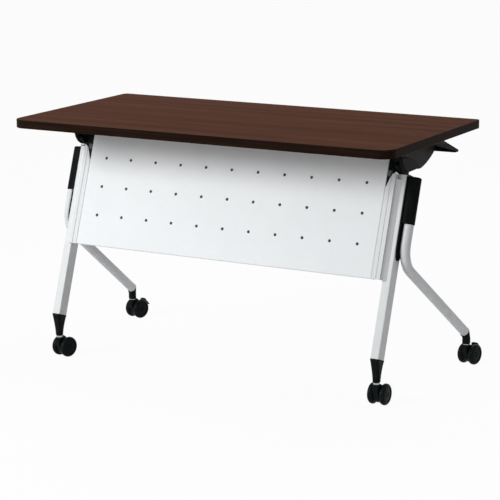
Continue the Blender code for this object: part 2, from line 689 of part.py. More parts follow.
def make_rail(name, side, lean):
    """Folded channel between the panel and the leg, cut on a slant at the top and clear of the leg's head."""
    inner, outer = PANEL_EDGE_X + FIT, LEG_INNER_X - FIT
    face, web = PANEL_FRONT, PANEL_FRONT + RAIL_SHEET
    near, far = RAIL_GROOVE_X - RAIL_GROOVE / 2, RAIL_GROOVE_X + RAIL_GROOVE / 2
    floor = face + RAIL_SHEET / 2
    outline = [(inner, RAIL_INNER_BACK), (inner, face), (near, face), (near, floor), (far, floor), (far, face),
               (outer, face), (outer, RAIL_OUTER_BACK), (outer - RAIL_SHEET, RAIL_OUTER_BACK),
               (outer - RAIL_SHEET, web), (inner + RAIL_SHEET, web), (inner + RAIL_SHEET, RAIL_INNER_BACK)]
    body = plate(f"panel_rail_{name}", [mirrored(outline, side)], PANEL_END, PANEL_TOP, "silver_paint", lean)
    start, stop, past_top = PANEL_EDGE_X - RAIL_SHEET, LEG_INNER_X + RAIL_SHEET, PANEL_TOP + LEG_DEPTH
    slant = [(start, rail_slant(start)), (stop, rail_slant(stop)), (stop, past_top), (start, past_top)]
    cut(body, plate(f"rail_slant_{name}", [mirrored(slant, side)], -LEG_DEPTH, LEG_DEPTH, None, lean,
                    rotation=(pi / 2, 0, 0)),
        box(f"rail_notch_{name}", (side * RAIL_NOTCH_X, -LEG_DEPTH, RAIL_NOTCH_END),
            (side * LEG_OUTER_X, LEG_DEPTH, past_top), None, lean),
        box(f"flange_notch_{name}", (side * RAIL_NOTCH_X, web + RAIL_SHEET, RAIL_FLANGE_END),
            (side * LEG_OUTER_X, LEG_DEPTH, past_top), None, lean))


def make_pawl(name, side, release):
    """Arm from the release rod whose nose lies in the stop window of the leg's head."""
    nose_y = BOSS_RADIUS - WINDOW_DEPTH + 2 * RUN - ROD_BACK
    nose_z = PAWL_NOSE_RISE - ROD_RISE
    outline = arc((0, 0), HUB_RADIUS, radians(-110), radians(110), 14)
    outline += [(nose_y, nose_z + PAWL_NOSE), (nose_y, nose_z)]
    body = plate(f"pawl_{name}", [outline], side * PAWL_START_X, side * (PAWL_START_X + PAWL_WIDTH),
                 "zinc_steel", release, "YZ")
    cut(body, bar(f"pawl_bore_{name}", ROD_RADIUS + FIT, side * (PAWL_START_X - PAWL_WIDTH),
                  side * (PAWL_START_X + 2 * PAWL_WIDTH), None, release))


def make_paddle(name, side, release):
    """Hand paddle: an arm on the release rod and a tapering wing behind the hinge cover."""
    arm_end = PADDLE_START_X + PADDLE_ARM
    sole, heel = -PADDLE_DROP, PADDLE_ROOT_THICK - PADDLE_DROP
    tip_rear = PADDLE_FRONT + PADDLE_TIP_CHORD
    outline = arc((0, 0), HUB_RADIUS, radians(70), radians(250), 12)
    outline += [(PADDLE_FRONT, sole + PADDLE_EDGE / 4), (tip_rear, sole + PADDLE_EDGE),
                (tip_rear, heel - PADDLE_EDGE / 4), (PADDLE_FRONT, heel - PADDLE_EDGE / 8)]
    body = plate(f"release_paddle_{name}", [outline], side * PADDLE_START_X, side * arm_end,
                 "black_plastic", release, "YZ")
    rear = PADDLE_FRONT + PADDLE_ROOT_CHORD
    low, high = sole + PADDLE_TIP_RISE, sole + PADDLE_TIP_RISE + PADDLE_EDGE
    root = [(PADDLE_FRONT, sole), (rear, heel - PADDLE_EDGE), (rear, heel), (PADDLE_FRONT, heel)]
    tip = [(PADDLE_FRONT, low), (tip_rear, low), (tip_rear, high), (PADDLE_FRONT, high)]
    root_x = PADDLE_START_X + PADDLE_EDGE / 2
    join(body, loft(f"wing_{name}", [[(side * root_x, *point) for point in root],
                                     [(side * PADDLE_TIP_X, *point) for point in tip]], None, release))
    cut(body, bar(f"paddle_bore_{name}", ROD_RADIUS + FIT, side * (PADDLE_START_X - PADDLE_ARM),
                  side * (arm_end + PADDLE_ARM), None, release))


def wheel_profile():
    """Section of a wheel from its outer face round the tread to the bore."""
    half = WHEEL_WIDTH / 2
    bore = AXLE_RADIUS + FIT
    shoulder = WHEEL_RADIUS - WHEEL_ROUND
    tread = arc((shoulder, half - WHEEL_ROUND), WHEEL_ROUND, pi / 2, 0, 2)
    tread += arc((shoulder, WHEEL_ROUND - half), WHEEL_ROUND, 0, -pi / 2, 2)
    face = half - HUB_RECESS
    return [(RECESS_RADIUS + HUB_RECESS / 2, half)] + tread + [(bore, -half), (bore, face), (RECESS_RADIUS, face)]


def make_wheel(name, label, hand, swivel):
    """One wheel with its recessed face outward, on an empty at its middle."""
    axis = empty(f"{name}_{label}_axis", swivel, (hand * WHEEL_TRACK / 2, TRAIL, WHEEL_RADIUS))
    turned(f"{name}_wheel_{label}", wheel_profile(), True, "wheel_nylon", axis, WHEEL_SIDES,
           rotation=(0, hand * pi / 2, 0))


def pedal_point():
    return (TRAIL + PEDAL_REACH * cos(PEDAL_BEARING), WHEEL_RADIUS + PEDAL_REACH * sin(PEDAL_BEARING))


def make_hood(name, swivel, braked):
    """Body between the wheels: a disc on the axle, a neck to the stem and, at the rear, a pedal tab."""
    axle = (TRAIL, WHEEL_RADIUS)
    crown = HOOD_TOP - HOOD_FLANGE / 2
    outline = [(HOOD_FLANGE_RADIUS, crown), (-HOOD_FLANGE_RADIUS, crown),
               (-HOOD_FLANGE_RADIUS, WHEEL_RADIUS + WEB_RADIUS / 2)]
    outline += arc(axle, WEB_RADIUS, radians(175), radians(405), 18)
    body = plate(f"{name}_hood", [outline], -WEB_HALF, WEB_HALF, "black_plastic", swivel, "YZ")
    join(body, bar(f"{name}_flange", HOOD_FLANGE_RADIUS, HOOD_TOP - HOOD_FLANGE, HOOD_TOP, None, swivel, "Z"))
    if braked:
        pin = pedal_point()
        aside = (PEDAL_TAB_RADIUS * sin(PEDAL_BEARING), -PEDAL_TAB_RADIUS * cos(PEDAL_BEARING))
        tab = arc(pin, PEDAL_TAB_RADIUS, PEDAL_BEARING - pi / 2, PEDAL_BEARING + pi / 2, 8)
        tab += [(axle[0] - aside[0], axle[1] - aside[1]), (axle[0] + aside[0], axle[1] + aside[1])]
        join(body, plate(f"{name}_tab", [tab], -PEDAL_TAB_HALF, PEDAL_TAB_HALF, None, swivel, "YZ"))
        cut(body, bar(f"{name}_pin_bore", PEDAL_PIN_RADIUS + FIT, -2 * WEB_HALF, 2 * WEB_HALF, None, swivel,
                      centre=(0, *pin), sides=SMALL_SIDES))
    cut(body, bar(f"{name}_stem_bore", STEM_RADIUS + FIT, STEM_FOOT - FIT, HOOD_TOP + STEM_RADIUS, None,
                  swivel, "Z"),
        bar(f"{name}_axle_bore", AXLE_RADIUS + FIT, -2 * WEB_HALF, 2 * WEB_HALF, None, swivel, centre=(0, *axle)))


def make_stem(name, swivel, socket_foot):
    """Steel stem with the ring that carries the socket."""
    top, step, ledge = socket_foot + STEM_IN_SOCKET, socket_foot - FIT, HOOD_TOP + FIT
    profile = [(0, top), (STEM_RADIUS, top), (STEM_RADIUS, step), (RING_RADIUS, step), (RING_RADIUS, ledge),
               (STEM_RADIUS, ledge), (STEM_RADIUS, STEM_FOOT), (0, STEM_FOOT)]
    turned(f"{name}_stem", profile, False, "zinc_steel", swivel)


def make_pedal(name, swivel):
    """Brake pedal on its pin at the trailing side, sloping down over the wheels."""
    hinge = empty(f"{name}_pedal_axis", swivel, (0, *pedal_point()), (PEDAL_FALL, 0, 0))
    start = PEDAL_TAB_RADIUS + 2 * RUN
    body = box(f"{name}_brake_pedal", (-PEDAL_WIDTH / 2, start, -PEDAL_THICK / 2),
               (PEDAL_WIDTH / 2, PEDAL_LENGTH, PEDAL_THICK / 2), "black_plastic", hinge)
    near, far = PEDAL_TAB_HALF + FIT, PEDAL_TAB_HALF + FIT + PEDAL_THICK
    for label, hand in SIDES.items():
        join(body, box(f"{name}_pedal_ear_{label}", (hand * near, -PEDAL_THICK, -PEDAL_THICK),
                       (hand * far, start + PEDAL_THICK, PEDAL_PIN_RADIUS * 1.2), None, hinge))
    join(body, bar(f"{name}_pedal_pin", PEDAL_PIN_RADIUS, -near - PEDAL_THICK / 2, near + PEDAL_THICK / 2, None,
                   hinge, sides=SMALL_SIDES))


def make_caster(end, name, assembly, stem_x, stem_y, socket_foot):
    caster = f"{end}_{name}"
    swivel = empty(f"{caster}_swivel", assembly, (stem_x, stem_y, 0), (0, 0, radians(SWIVEL[caster])))
    braked = end == "rear"
    make_hood(caster, swivel, braked)
    make_stem(caster, swivel, socket_foot)
    bar(f"{caster}_axle", AXLE_RADIUS, -AXLE_HALF, AXLE_HALF, "zinc_steel", swivel,
        centre=(0, TRAIL, WHEEL_RADIUS), sides=16)
    make_wheel(caster, "inner", -SIDES[name], swivel)
    make_wheel(caster, "outer", SIDES[name], swivel)
    if braked:
        make_pedal(caster, swivel)


def make_release(flip):
    release = empty("release_axis", flip, (0, ROD_BACK, ROD_RISE))
    bar("release_rod", ROD_RADIUS, -EAR_OUTER_X - RUN, EAR_OUTER_X + RUN, "zinc_steel", release, sides=16)
    for name, side in SIDES.items():
        make_pawl(name, side, release)
        make_paddle(name, side, release)


def stand_on_origin(assembly):
    """Move the assembly so that the middle of its bounding box stands over the origin."""
    bpy.context.view_layer.update()
    depsgraph = bpy.context.evaluated_depsgraph_get()
    low, high = np.full(3, np.inf), np.full(3, -np.inf)
    for body in PARTS.objects:
        if body.type == "MESH":
            shape = body.evaluated_get(depsgraph)
            points = np.array([shape.matrix_world @ vertex.co for vertex in shape.to_mesh().vertices])
            low, high = np.minimum(low, points.min(axis=0)), np.maximum(high, points.max(axis=0))
            shape.to_mesh_clear()
    assembly.location = (-(low[0] + high[0]) / 2, -(low[1] + high[1]) / 2, -low[2])


def build():
    assembly = empty("assembly", None)
    lean = empty("leaning_frame", assembly, (0, PIVOT_Y, PIVOT_Z), (-LEAN, 0, 0))
    flip = empty("flip_axis", assembly, (0, PIVOT_Y, PIVOT_Z))
    make_top(flip)
    make_beam(lean)
    make_panel(lean)
    for name, side in SIDES.items():
        make_leg(name, side, lean)
        make_head(name, side, lean)
        make_pin(name, side, lean)
        make_rear_leg(name, side, assembly)
        make_spacer(name, side, lean)
        make_sleeve(name, side, lean)
        make_front_socket(name, side, assembly)
        make_rear_socket(name, side, assembly)
        make_rail(name, side, lean)
        make_bracket(name, side, flip)
        make_cover(name, side, flip)
        make_caster("front", name, assembly, side * LEG_X, FRONT_STEM_Y, FRONT_SOCKET_FOOT)
        make_caster("rear", name, assembly, side * REAR_STEM_X, REAR_STEM_Y, REAR_SOCKET_FOOT)
    make_release(flip)
    stand_on_origin(assembly)


build()
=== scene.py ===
# Flip-top conference table with a punched modesty panel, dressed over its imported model.
# Metres, in the model's frame: +X along the table, +Y to the seated user, +Z up.
from math import cos, pi, radians, sin, tan

import bmesh
import bpy
from mathutils import Matrix, Vector


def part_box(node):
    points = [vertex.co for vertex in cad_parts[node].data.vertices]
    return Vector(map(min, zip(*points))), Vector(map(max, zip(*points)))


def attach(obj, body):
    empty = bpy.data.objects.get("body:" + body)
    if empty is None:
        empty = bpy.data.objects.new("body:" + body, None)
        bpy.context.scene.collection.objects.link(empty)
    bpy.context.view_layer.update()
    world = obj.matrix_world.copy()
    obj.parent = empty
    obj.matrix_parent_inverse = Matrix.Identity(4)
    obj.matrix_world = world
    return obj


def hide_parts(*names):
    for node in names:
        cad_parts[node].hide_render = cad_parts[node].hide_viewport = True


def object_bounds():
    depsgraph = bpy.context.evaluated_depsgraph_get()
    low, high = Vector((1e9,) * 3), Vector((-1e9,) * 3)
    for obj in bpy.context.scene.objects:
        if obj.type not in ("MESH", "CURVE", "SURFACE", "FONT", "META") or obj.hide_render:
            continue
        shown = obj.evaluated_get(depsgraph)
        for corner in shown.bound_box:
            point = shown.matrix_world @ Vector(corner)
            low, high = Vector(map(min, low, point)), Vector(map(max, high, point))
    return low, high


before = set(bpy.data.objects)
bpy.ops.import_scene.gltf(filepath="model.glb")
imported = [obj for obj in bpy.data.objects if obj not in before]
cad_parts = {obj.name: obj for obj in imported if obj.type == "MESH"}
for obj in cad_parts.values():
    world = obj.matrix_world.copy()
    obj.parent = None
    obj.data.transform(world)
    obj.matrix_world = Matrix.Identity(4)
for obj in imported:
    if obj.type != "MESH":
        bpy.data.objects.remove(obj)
modelLow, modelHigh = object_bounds()
print("frame loaded,", len(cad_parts), "nodes")

sides = {"left": -1, "right": 1}
fit = 0.0003                            # gap between pieces that touch
leastRadius = 0.00001                   # of a turned form's ends on its axis
sharpFrom = 38                          # degrees between two faces whose edge is sharp
boardLow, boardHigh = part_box("edge_band")
tableMiddle = Vector(((boardLow.x + boardHigh.x) / 2, (boardLow.y + boardHigh.y) / 2, 0))
pivot = {"y": -0.038, "z": 0.661, "lean": radians(19.8)}
tableFrame = Matrix.Translation(tableMiddle)
flipFrame = tableFrame @ Matrix.Translation((0, pivot["y"], pivot["z"]))
# the legs' frame: x, back from the flip axis, rise along the leg
leanFrame = flipFrame @ Matrix.Rotation(-pivot["lean"], 4, "X")
# an outline in Y and Z, raised along X; one in X and Z, raised towards -Y; a turned form, laid along X
sideView = Matrix(((0, 0, 1, 0), (1, 0, 0, 0), (0, 1, 0, 0), (0, 0, 0, 1)))
frontView = Matrix.Rotation(pi / 2, 4, "X")
spinX = Matrix.Rotation(pi / 2, 4, "Y")


# Materials

def startMaterial(name):
    material = bpy.data.materials.new(name)
    material.use_nodes = True
    return material, material.node_tree, material.node_tree.nodes["Principled BSDF"]


def setSockets(tree, node, sockets):
    # a socket is linked to another node's output or holds a fixed value
    for socket, value in sockets.items():
        if isinstance(value, bpy.types.NodeSocket):
            tree.links.new(value, node.inputs[socket])
        else:
            node.inputs[socket].default_value = value
    return node


def addNode(tree, kind, sockets, **settings):
    node = tree.nodes.new("ShaderNode" + kind)
    for setting, value in settings.items():
        setattr(node, setting, value)
    return setSockets(tree, node, sockets)


def noiseField(tree, stretch, detail, roughness, distortion=0.0):
    # noise in metres of the object itself, so that it moves with the piece
    place = addNode(tree, "TexCoord", {})
    stretch = stretch if isinstance(stretch, tuple) else (stretch,) * 3
    scale = addNode(tree, "Mapping", {"Vector": place.outputs["Object"], "Scale": stretch})
    noise = addNode(tree, "TexNoise", {"Vector": scale.outputs["Vector"], "Scale": 1.0, "Detail": detail,
                                       "Roughness": roughness, "Distortion": distortion})
    return noise.outputs["Fac"]


def ramp(tree, value, stops):
    colours = addNode(tree, "ValToRGB", {"Fac": value})
    while len(colours.color_ramp.elements) < len(stops):
        colours.color_ramp.elements.new(0.5)
    for element, (position, colour) in zip(colours.color_ramp.elements, stops):
        element.position = position
        element.color = (*colour, 1)
    return colours.outputs["Color"]


noiseSpan = (0.3, 0.7)                  # most of a noise's values lie between these


def spread(tree, value, low, high):
    step = addNode(tree, "MapRange", {"Value": value, "From Min": noiseSpan[0], "From Max": noiseSpan[1],
                                      "To Min": low, "To Max": high})
    return step.outputs["Result"]


def bumps(tree, fields):
    # each field is a value and its height in metres
    sockets = {"Strength": 1.0}
    for value, height in fields:
        bump = addNode(tree, "Bump", {**sockets, "Height": value, "Distance": height})
        sockets["Normal"] = bump.outputs["Normal"]
    return sockets["Normal"]


def multiply(tree, first, second, share):
    mix = addNode(tree, "Mix", {"Factor": share, "A": first, "B": second},
                  data_type="RGBA", blend_type="MULTIPLY")
    return mix.outputs["Result"]


# each noise has its stretch per metre, detail, roughness and distortion
walnutLook = {
    "figure": ((0.9, 26, 26), 5, 0.6, 0.6),             # broad bands of the grain
    "grain": ((3.0, 210, 210), 6, 0.65, 0.25),          # fine straight lines
    "pores": ((26, 1500, 1500), 3, 0.5),                # short dark pores
    "bands": ((0.28, (0.052, 0.0180, 0.0092)), (0.5, (0.078, 0.0272, 0.0142)),
              (0.74, (0.101, 0.0385, 0.0215))),
    "lines": ((0.30, (0.62, 0.58, 0.56)), (0.5, (0.95, 0.94, 0.93)), (0.7, (1.12, 1.10, 1.08))),
    "flecks": ((0.33, (0.45, 0.42, 0.40)), (0.42, (1, 1, 1))),
    "lineShare": 0.85, "fleckShare": 0.5, "roughness": (0.44, 0.56), "poreDepth": 0.00010, "specular": 0.003,
}


def makeWalnut():
    material, tree, shader = startMaterial("walnutLaminate")
    look = walnutLook
    figure, grain, pores = (noiseField(tree, *look[name]) for name in ("figure", "grain", "pores"))
    bands, lines = ramp(tree, figure, look["bands"]), ramp(tree, grain, look["lines"])
    wood = multiply(tree, bands, lines, look["lineShare"])
    setSockets(tree, shader, {
        "Base Color": multiply(tree, wood, ramp(tree, pores, look["flecks"]), look["fleckShare"]),
        "Roughness": spread(tree, grain, *look["roughness"]), "Specular IOR Level": look["specular"],
        "Normal": bumps(tree, ((grain, look["poreDepth"] / 2), (pores, look["poreDepth"])))})
    return material


# shades: two near colours; patch: their clouds per metre; grain: bumps per metre, with their height
coatLooks = {
    "edgeStrip": {"shades": ((0.009, 0.0045, 0.0028), (0.020, 0.0100, 0.0065)), "patch": (4, 160, 160),
                  "roughness": (0.34, 0.46), "grain": 900, "height": 0.00003, "specular": 0.012},
    "silverPaint": {"shades": ((0.665, 0.685, 0.695), (0.735, 0.755, 0.765)), "patch": 30,
                    "roughness": (0.38, 0.50), "grain": 1600, "height": 0.00005, "specular": 0.05,
                    "metal": 0.04, "speckle": 2600},
    "panelPaint": {"shades": ((0.79, 0.82, 0.835), (0.85, 0.88, 0.895)), "patch": 6,
                   "roughness": (0.42, 0.54), "grain": 1400, "height": 0.00004, "specular": 0.2},
    "plugPlastic": {"shades": ((0.052, 0.056, 0.057), (0.070, 0.075, 0.076)), "patch": 45,
                    "roughness": (0.50, 0.62), "grain": 1900, "height": 0.00005, "specular": 0.05},
    "coverPlastic": {"shades": ((0.013, 0.0145, 0.0125), (0.022, 0.0245, 0.021)), "patch": 45,
                     "roughness": (0.46, 0.60), "grain": 1900, "height": 0.00007, "specular": 0.05},
    # the cover's plastic made darker for the cap: painted shade where the pad faces away from the light
    "capPlastic": {"shades": ((0.0085, 0.0100, 0.0085), (0.0150, 0.0172, 0.0145)), "patch": 45,
                   "roughness": (0.44, 0.58), "grain": 1900, "height": 0.00007, "specular": 0.03},
    "hookPaint": {"shades": ((0.120, 0.128, 0.130), (0.150, 0.160, 0.163)), "patch": 45,
                  "roughness": (0.44, 0.58), "grain": 1500, "height": 0.00005, "specular": 0.05},
    "sleevePlastic": {"shades": ((0.0050, 0.0056, 0.0057), (0.0100, 0.0111, 0.0112)), "patch": 40,
                      "roughness": (0.34, 0.48), "grain": 1700, "height": 0.00005, "specular": 0.012},
    "socketPlastic": {"shades": ((0.0042, 0.0048, 0.0049), (0.0104, 0.0112, 0.0114)), "patch": 50,
                      "roughness": (0.32, 0.46), "grain": 1800, "height": 0.00005, "specular": 0.025},
    "blackPaint": {"shades": ((0.005, 0.005, 0.0052), (0.010, 0.010, 0.0105)), "patch": 35,
                   "roughness": (0.42, 0.56), "grain": 1500, "height": 0.00006, "specular": 0.05},
    "wheelNylon": {"shades": ((0.0050, 0.0072, 0.0078), (0.0112, 0.0150, 0.0160)), "patch": 60,
                   "roughness": (0.16, 0.28), "grain": 1300, "height": 0.00002, "specular": 0.03},
}
# detail and roughness of the coats' noises, and the tones of the speckle in silver paint
coatNoise = {"cloud": (4, 0.6), "grain": (2, 0.5), "speckle": (1, 0.5)}
flakes = {"tones": ((0.35, (0.90, 0.90, 0.90)), (0.65, (1, 1, 1))), "share": 0.6}


def makeCoat(name):
    # paint or moulded plastic: clouded colour, uneven gloss and a fine skin
    look = coatLooks[name]
    material, tree, shader = startMaterial(name)
    cloud = noiseField(tree, look["patch"], *coatNoise["cloud"])
    skinGrain = noiseField(tree, look["grain"], *coatNoise["grain"])
    colour = ramp(tree, cloud, tuple(zip(noiseSpan, look["shades"])))
    if "speckle" in look:
        speckle = noiseField(tree, look["speckle"], *coatNoise["speckle"])
        colour = multiply(tree, colour, ramp(tree, speckle, flakes["tones"]), flakes["share"])
    setSockets(tree, shader, {
        "Base Color": colour, "Roughness": spread(tree, cloud, *look["roughness"]),
        "Metallic": look.get("metal", 0.0), "Specular IOR Level": look["specular"],
        "Normal": bumps(tree, ((skinGrain, look["height"]),))})
    return material


zincLook = {"streak": ((700, 60, 60), 3, 0.6), "bloom": (90, 4, 0.6), "roughness": (0.26, 0.42),
            "shades": ((0.35, (0.34, 0.345, 0.34)), (0.65, (0.46, 0.465, 0.46))), "scratch": 0.00002}


def makeZinc():
    material, tree, shader = startMaterial("zincSteel")
    streak = noiseField(tree, *zincLook["streak"])
    setSockets(tree, shader, {
        "Base Color": ramp(tree, noiseField(tree, *zincLook["bloom"]), zincLook["shades"]),
        "Roughness": spread(tree, streak, *zincLook["roughness"]), "Metallic": 1.0,
        "Normal": bumps(tree, ((streak, zincLook["scratch"]),))})
    return material


materials = {name: makeCoat(name) for name in coatLooks}
materials["walnut"] = makeWalnut()
materials["zinc"] = makeZinc()
print("materials made,", len(materials))


# Forms

def arc(centre, radius, start, end, steps):
    angles = [start + (end - start) * step / steps for step in range(steps + 1)]
    return [(centre[0] + radius * cos(angle), centre[1] + radius * sin(angle)) for angle in angles]


def roundedRectangle(width, depth, radii, centre=(0, 0), steps=8):
    # anticlockwise from the corner at +X and +Y, with one radius or four
    radii = radii if isinstance(radii, tuple) else (radii,) * 4
    points = []
    for quarter, (right, back) in enumerate(((1, 1), (-1, 1), (-1, -1), (1, -1))):
        radius = radii[quarter]
        corner = (centre[0] + right * (width / 2 - radius), centre[1] + back * (depth / 2 - radius))
        points += arc(corner, radius, quarter * pi / 2, (quarter + 1) * pi / 2, steps)
    return points


def pulledCurve(start, pull, end, steps):
    # from start to end, drawn towards pull
    start, pull, end = Vector(start), Vector(pull), Vector(end)
    shares = [step / steps for step in range(steps + 1)]
    return [tuple(start.lerp(pull, share).lerp(pull.lerp(end, share), share)) for share in shares]


def roundedQuad(corners, radius, steps=4, most=0.45):
    # corners in order round the quad, each cut back by at most a share of its edges and rounded
    points = []
    for index in range(len(corners)):
        here = Vector(corners[index])
        before, after = Vector(corners[index - 1]) - here, Vector(corners[(index + 1) % len(corners)]) - here
        reach = min(radius, before.length * most, after.length * most)
        start, end = here + before.normalized() * reach, here + after.normalized() * reach
        points += pulledCurve(start, here, end, steps)
    return points


def handed(side):
    return Matrix.Scale(side, 4, (1, 0, 0))


def mirrored(points, side):
    return [(side * across, along) for across, along in points]


def skin(rings, closed=False):
    # quads through rings of as many points each, with a cap at each open end
    form = bmesh.new()
    loops = [[form.verts.new(point) for point in ring] for ring in rings]
    pairs = list(zip(loops, loops[1:]))
    if closed:
        pairs.append((loops[-1], loops[0]))
    for lower, upper in pairs:
        for index in range(len(lower)):
            following = (index + 1) % len(lower)
            form.faces.new((lower[index], lower[following], upper[following], upper[index]))
    if not closed:
        form.faces.new(loops[0])
        form.faces.new(loops[-1])
    return form


def placed(form, turn):
    # the normals follow, because finishPiece judges the outside by them
    form.transform(turn)
    form.normal_update()
    return form


def stacked(outline, levels, closed=False):
    # rings of one outline, each with its inset and its level
    return skin([[(*point, level) for point in outline(inset)] for inset, level in levels], closed)


def prism(outline, low, high, turn=Matrix.Identity(4), softness=0.0, softSteps=3):
    # a flat outline raised from low to high, with its rim rounded
    form = skin([[(*point, level) for point in outline] for level in (low, high)])
    bmesh.ops.recalc_face_normals(form, faces=form.faces)
    if softness:
        rim = [edge for edge in form.edges
               if edge.is_manifold and edge.calc_face_angle(0) > radians(sharpFrom)]
        bmesh.ops.bevel(form, geom=rim, offset=softness, segments=softSteps, profile=0.5, affect="EDGES",
                        clamp_overlap=True)
    return placed(form, turn)


def sidePrism(outline, side, near, far, softness=0.0, softSteps=3):
    # an outline in Y and Z, raised on one side of the table's middle
    low, high = sorted((side * near, side * far))
    return prism(outline, low, high, sideView, softness, softSteps)


def turned(profile, count, turn=Matrix.Identity(4), closed=False):
    # a profile of radius and height, run round Z; a closed one makes a ring
    angles = [2 * pi * step / count for step in range(count)]
    rings = []
    for radius, height in profile:
        radius = max(radius, leastRadius)
        rings.append([(radius * cos(angle), radius * sin(angle), height) for angle in angles])
    return placed(skin(rings, closed), turn)


def joined(form, *blocks):
    for block in blocks:
        spare = bpy.data.meshes.new("spare")
        block.to_mesh(spare)
        block.free()
        form.from_mesh(spare)
        bpy.data.meshes.remove(spare)
    return form


def putInScene(name, data):
    thing = bpy.data.objects.new(name, data)
    bpy.context.scene.collection.objects.link(thing)
    return thing


def finishPiece(name, form, at, material, body, replaced=(), crease=sharpFrom):
    bmesh.ops.recalc_face_normals(form, faces=form.faces)
    form.transform(at)
    mesh = bpy.data.meshes.new(name)
    form.to_mesh(mesh)
    form.free()
    mesh.shade_smooth()
    mesh.set_sharp_from_angle(angle=radians(crease))
    mesh.materials.append(materials[material])
    piece = putInScene(name, mesh)
    piece.modifiers.new("evenShading", "WEIGHTED_NORMAL").keep_sharp = True
    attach(piece, body)
    if replaced:
        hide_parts(*replaced)


def onBothSides(*makers):
    for name, side in sides.items():
        for make in makers:
            make(name, side)


# Table top

topBoard = {"length": 1.200, "depth": 0.600, "low": 0.696, "high": 0.720, "frontCorner": 0.040,
            "rearCorner": 0.015, "cornerSteps": 16, "band": 0.002, "softness": 0.0014, "softSteps": 5,
            "joint": 0.0002}


def planOutline(inset):
    board = topBoard
    length, depth = board["length"] - 2 * inset, board["depth"] - 2 * inset
    rear, front = board["rearCorner"] - inset, board["frontCorner"] - inset
    return roundedRectangle(length, depth, (rear, rear, front, front), steps=board["cornerSteps"])


def makeTop():
    board = topBoard
    low, high, soft, steps = board["low"], board["high"], board["softness"], board["softSteps"]
    panel = prism(planOutline(board["band"]), low, high, softness=board["joint"], softSteps=1)
    finishPiece("boardPanel", panel, tableFrame, "walnut", "top", ["table_top"])
    profile = [(board["band"], low), *arc((soft, low + soft), soft, -pi / 2, -pi, steps),
               *arc((soft, high - soft), soft, pi, pi / 2, steps), (board["band"], high)]
    band = stacked(planOutline, profile, closed=True)
    finishPiece("boardEdge", band, tableFrame, "edgeStrip", "top", ["edge_band"])


makeTop()
print("top made")


# Modesty panel

panelSheet = {"width": 0.9624, "top": 0.006, "foot": -0.343, "front": -0.0088, "sheet": 0.0012, "fold": 0.012,
              "bend": 0.0022, "bendSteps": 5, "corner": 0.0026, "leastCorner": 0.0004, "cornerSteps": 6,
              "hole": 0.0045, "holeSides": 28, "pitch": 0.085, "columns": 11, "rows": 3, "firstRow": -0.083}
holePlug = {"gap": 0.0001, "sink": 0.0004, "thick": 0.0016, "shoulder": 0.86}


def holePlaces():
    panel, middle = panelSheet, (panelSheet["columns"] - 1) / 2
    for row in range(panel["rows"]):
        for column in range(panel["columns"]):
            yield (column - middle) * panel["pitch"], panel["firstRow"] - row * panel["pitch"]


def flatSheet(outlines, thickness):
    # a flat sheet with holes, in X and Y about its middle plane
    curve = bpy.data.curves.new("sheetOutline", "CURVE")
    curve.dimensions = "2D"
    curve.fill_mode = "BOTH"
    curve.extrude = thickness / 2
    for outline in outlines:
        spline = curve.splines.new("POLY")
        spline.points.add(len(outline) - 1)
        spline.use_cyclic_u = True
        for point, (across, along) in zip(spline.points, outline):
            point.co = (across, along, 0, 1)
    form = takeForm(putInScene("sheetOutline", curve))
    bpy.data.curves.remove(curve)
    bmesh.ops.remove_doubles(form, verts=form.verts, dist=1e-6)
    return form


def takeForm(holder):
    # the shape that an object's modifiers and curves give, and the object removed
    mesh = bpy.data.meshes.new_from_object(holder.evaluated_get(bpy.context.evaluated_depsgraph_get()))
    form = bmesh.new()
    form.from_mesh(mesh)
    bpy.data.meshes.remove(mesh)
    bpy.data.objects.remove(holder)
    return form


def makePanel():
    panel = panelSheet
    face, bend, sheet, steps = -panel["front"], panel["bend"], panel["sheet"], panel["bendSteps"]
    middle, height = (0, (panel["top"] + panel["foot"]) / 2), panel["top"] - panel["foot"]

    def edge(inset):
        corner = max(panel["corner"] - inset, panel["leastCorner"])
        across, along = panel["width"] - 2 * inset, height - 2 * inset
        return roundedRectangle(across, along, corner, middle, panel["cornerSteps"])

    def fold(radius):
        # inset and depth round the bend, from the face to the return
        turns = [step * pi / 2 / steps for step in range(steps + 1)]
        return [(bend - radius * sin(turn), face - bend + radius * cos(turn)) for turn in turns]

    around = panel["holeSides"]
    holes = [arc(place, panel["hole"], 0, 2 * pi * (1 - 1 / around), around - 1) for place in holePlaces()]
    form = flatSheet([edge(bend), *holes], sheet)
    form.transform(Matrix.Translation((0, 0, face - sheet / 2)))
    returnEdge = face - panel["fold"]
    rows = [*fold(bend), (0, returnEdge), (sheet, returnEdge), *fold(bend - sheet)[::-1]]
    finishPiece("punchedPanel", joined(form, stacked(edge, rows, closed=True)), leanFrame @ frontView,
                "panelPaint", "frame", ["modesty_panel"], crease=30)
    plug = holePlug
    radius, top = panel["hole"] - plug["gap"], face - plug["sink"]
    dome = [(radius, top - plug["thick"]), (radius, top - plug["sink"]),
            (panel["hole"] * plug["shoulder"], top - plug["sink"] / 5), (panel["hole"] / 2, top), (0, top)]
    plugs = [turned(dome, around, Matrix.Translation((*place, 0))) for place in holePlaces()]
    finishPiece("panelHolePlugs", joined(*plugs), leanFrame @ frontView, "plugPlastic", "frame")


makePanel()
print("panel made")


# Straight legs

def riseAt(height, back):
    # place along the legs' frame of a height over the floor
    return (height - pivot["z"] + back * sin(pivot["lean"])) / cos(pivot["lean"])


def leanSpot(x, back, rise):
    return Vector((x, pivot["y"] + back * cos(pivot["lean"]) + rise * sin(pivot["lean"]),
                   pivot["z"] - back * sin(pivot["lean"]) + rise * cos(pivot["lean"])))


straightLeg = {"x": 0.5207, "width": 0.0254, "depth": 0.038, "wall": 0.0016, "corner": 0.0032, "back": 0.0261,
               "top": -0.050, "foot": riseAt(0.130, 0.0261)}


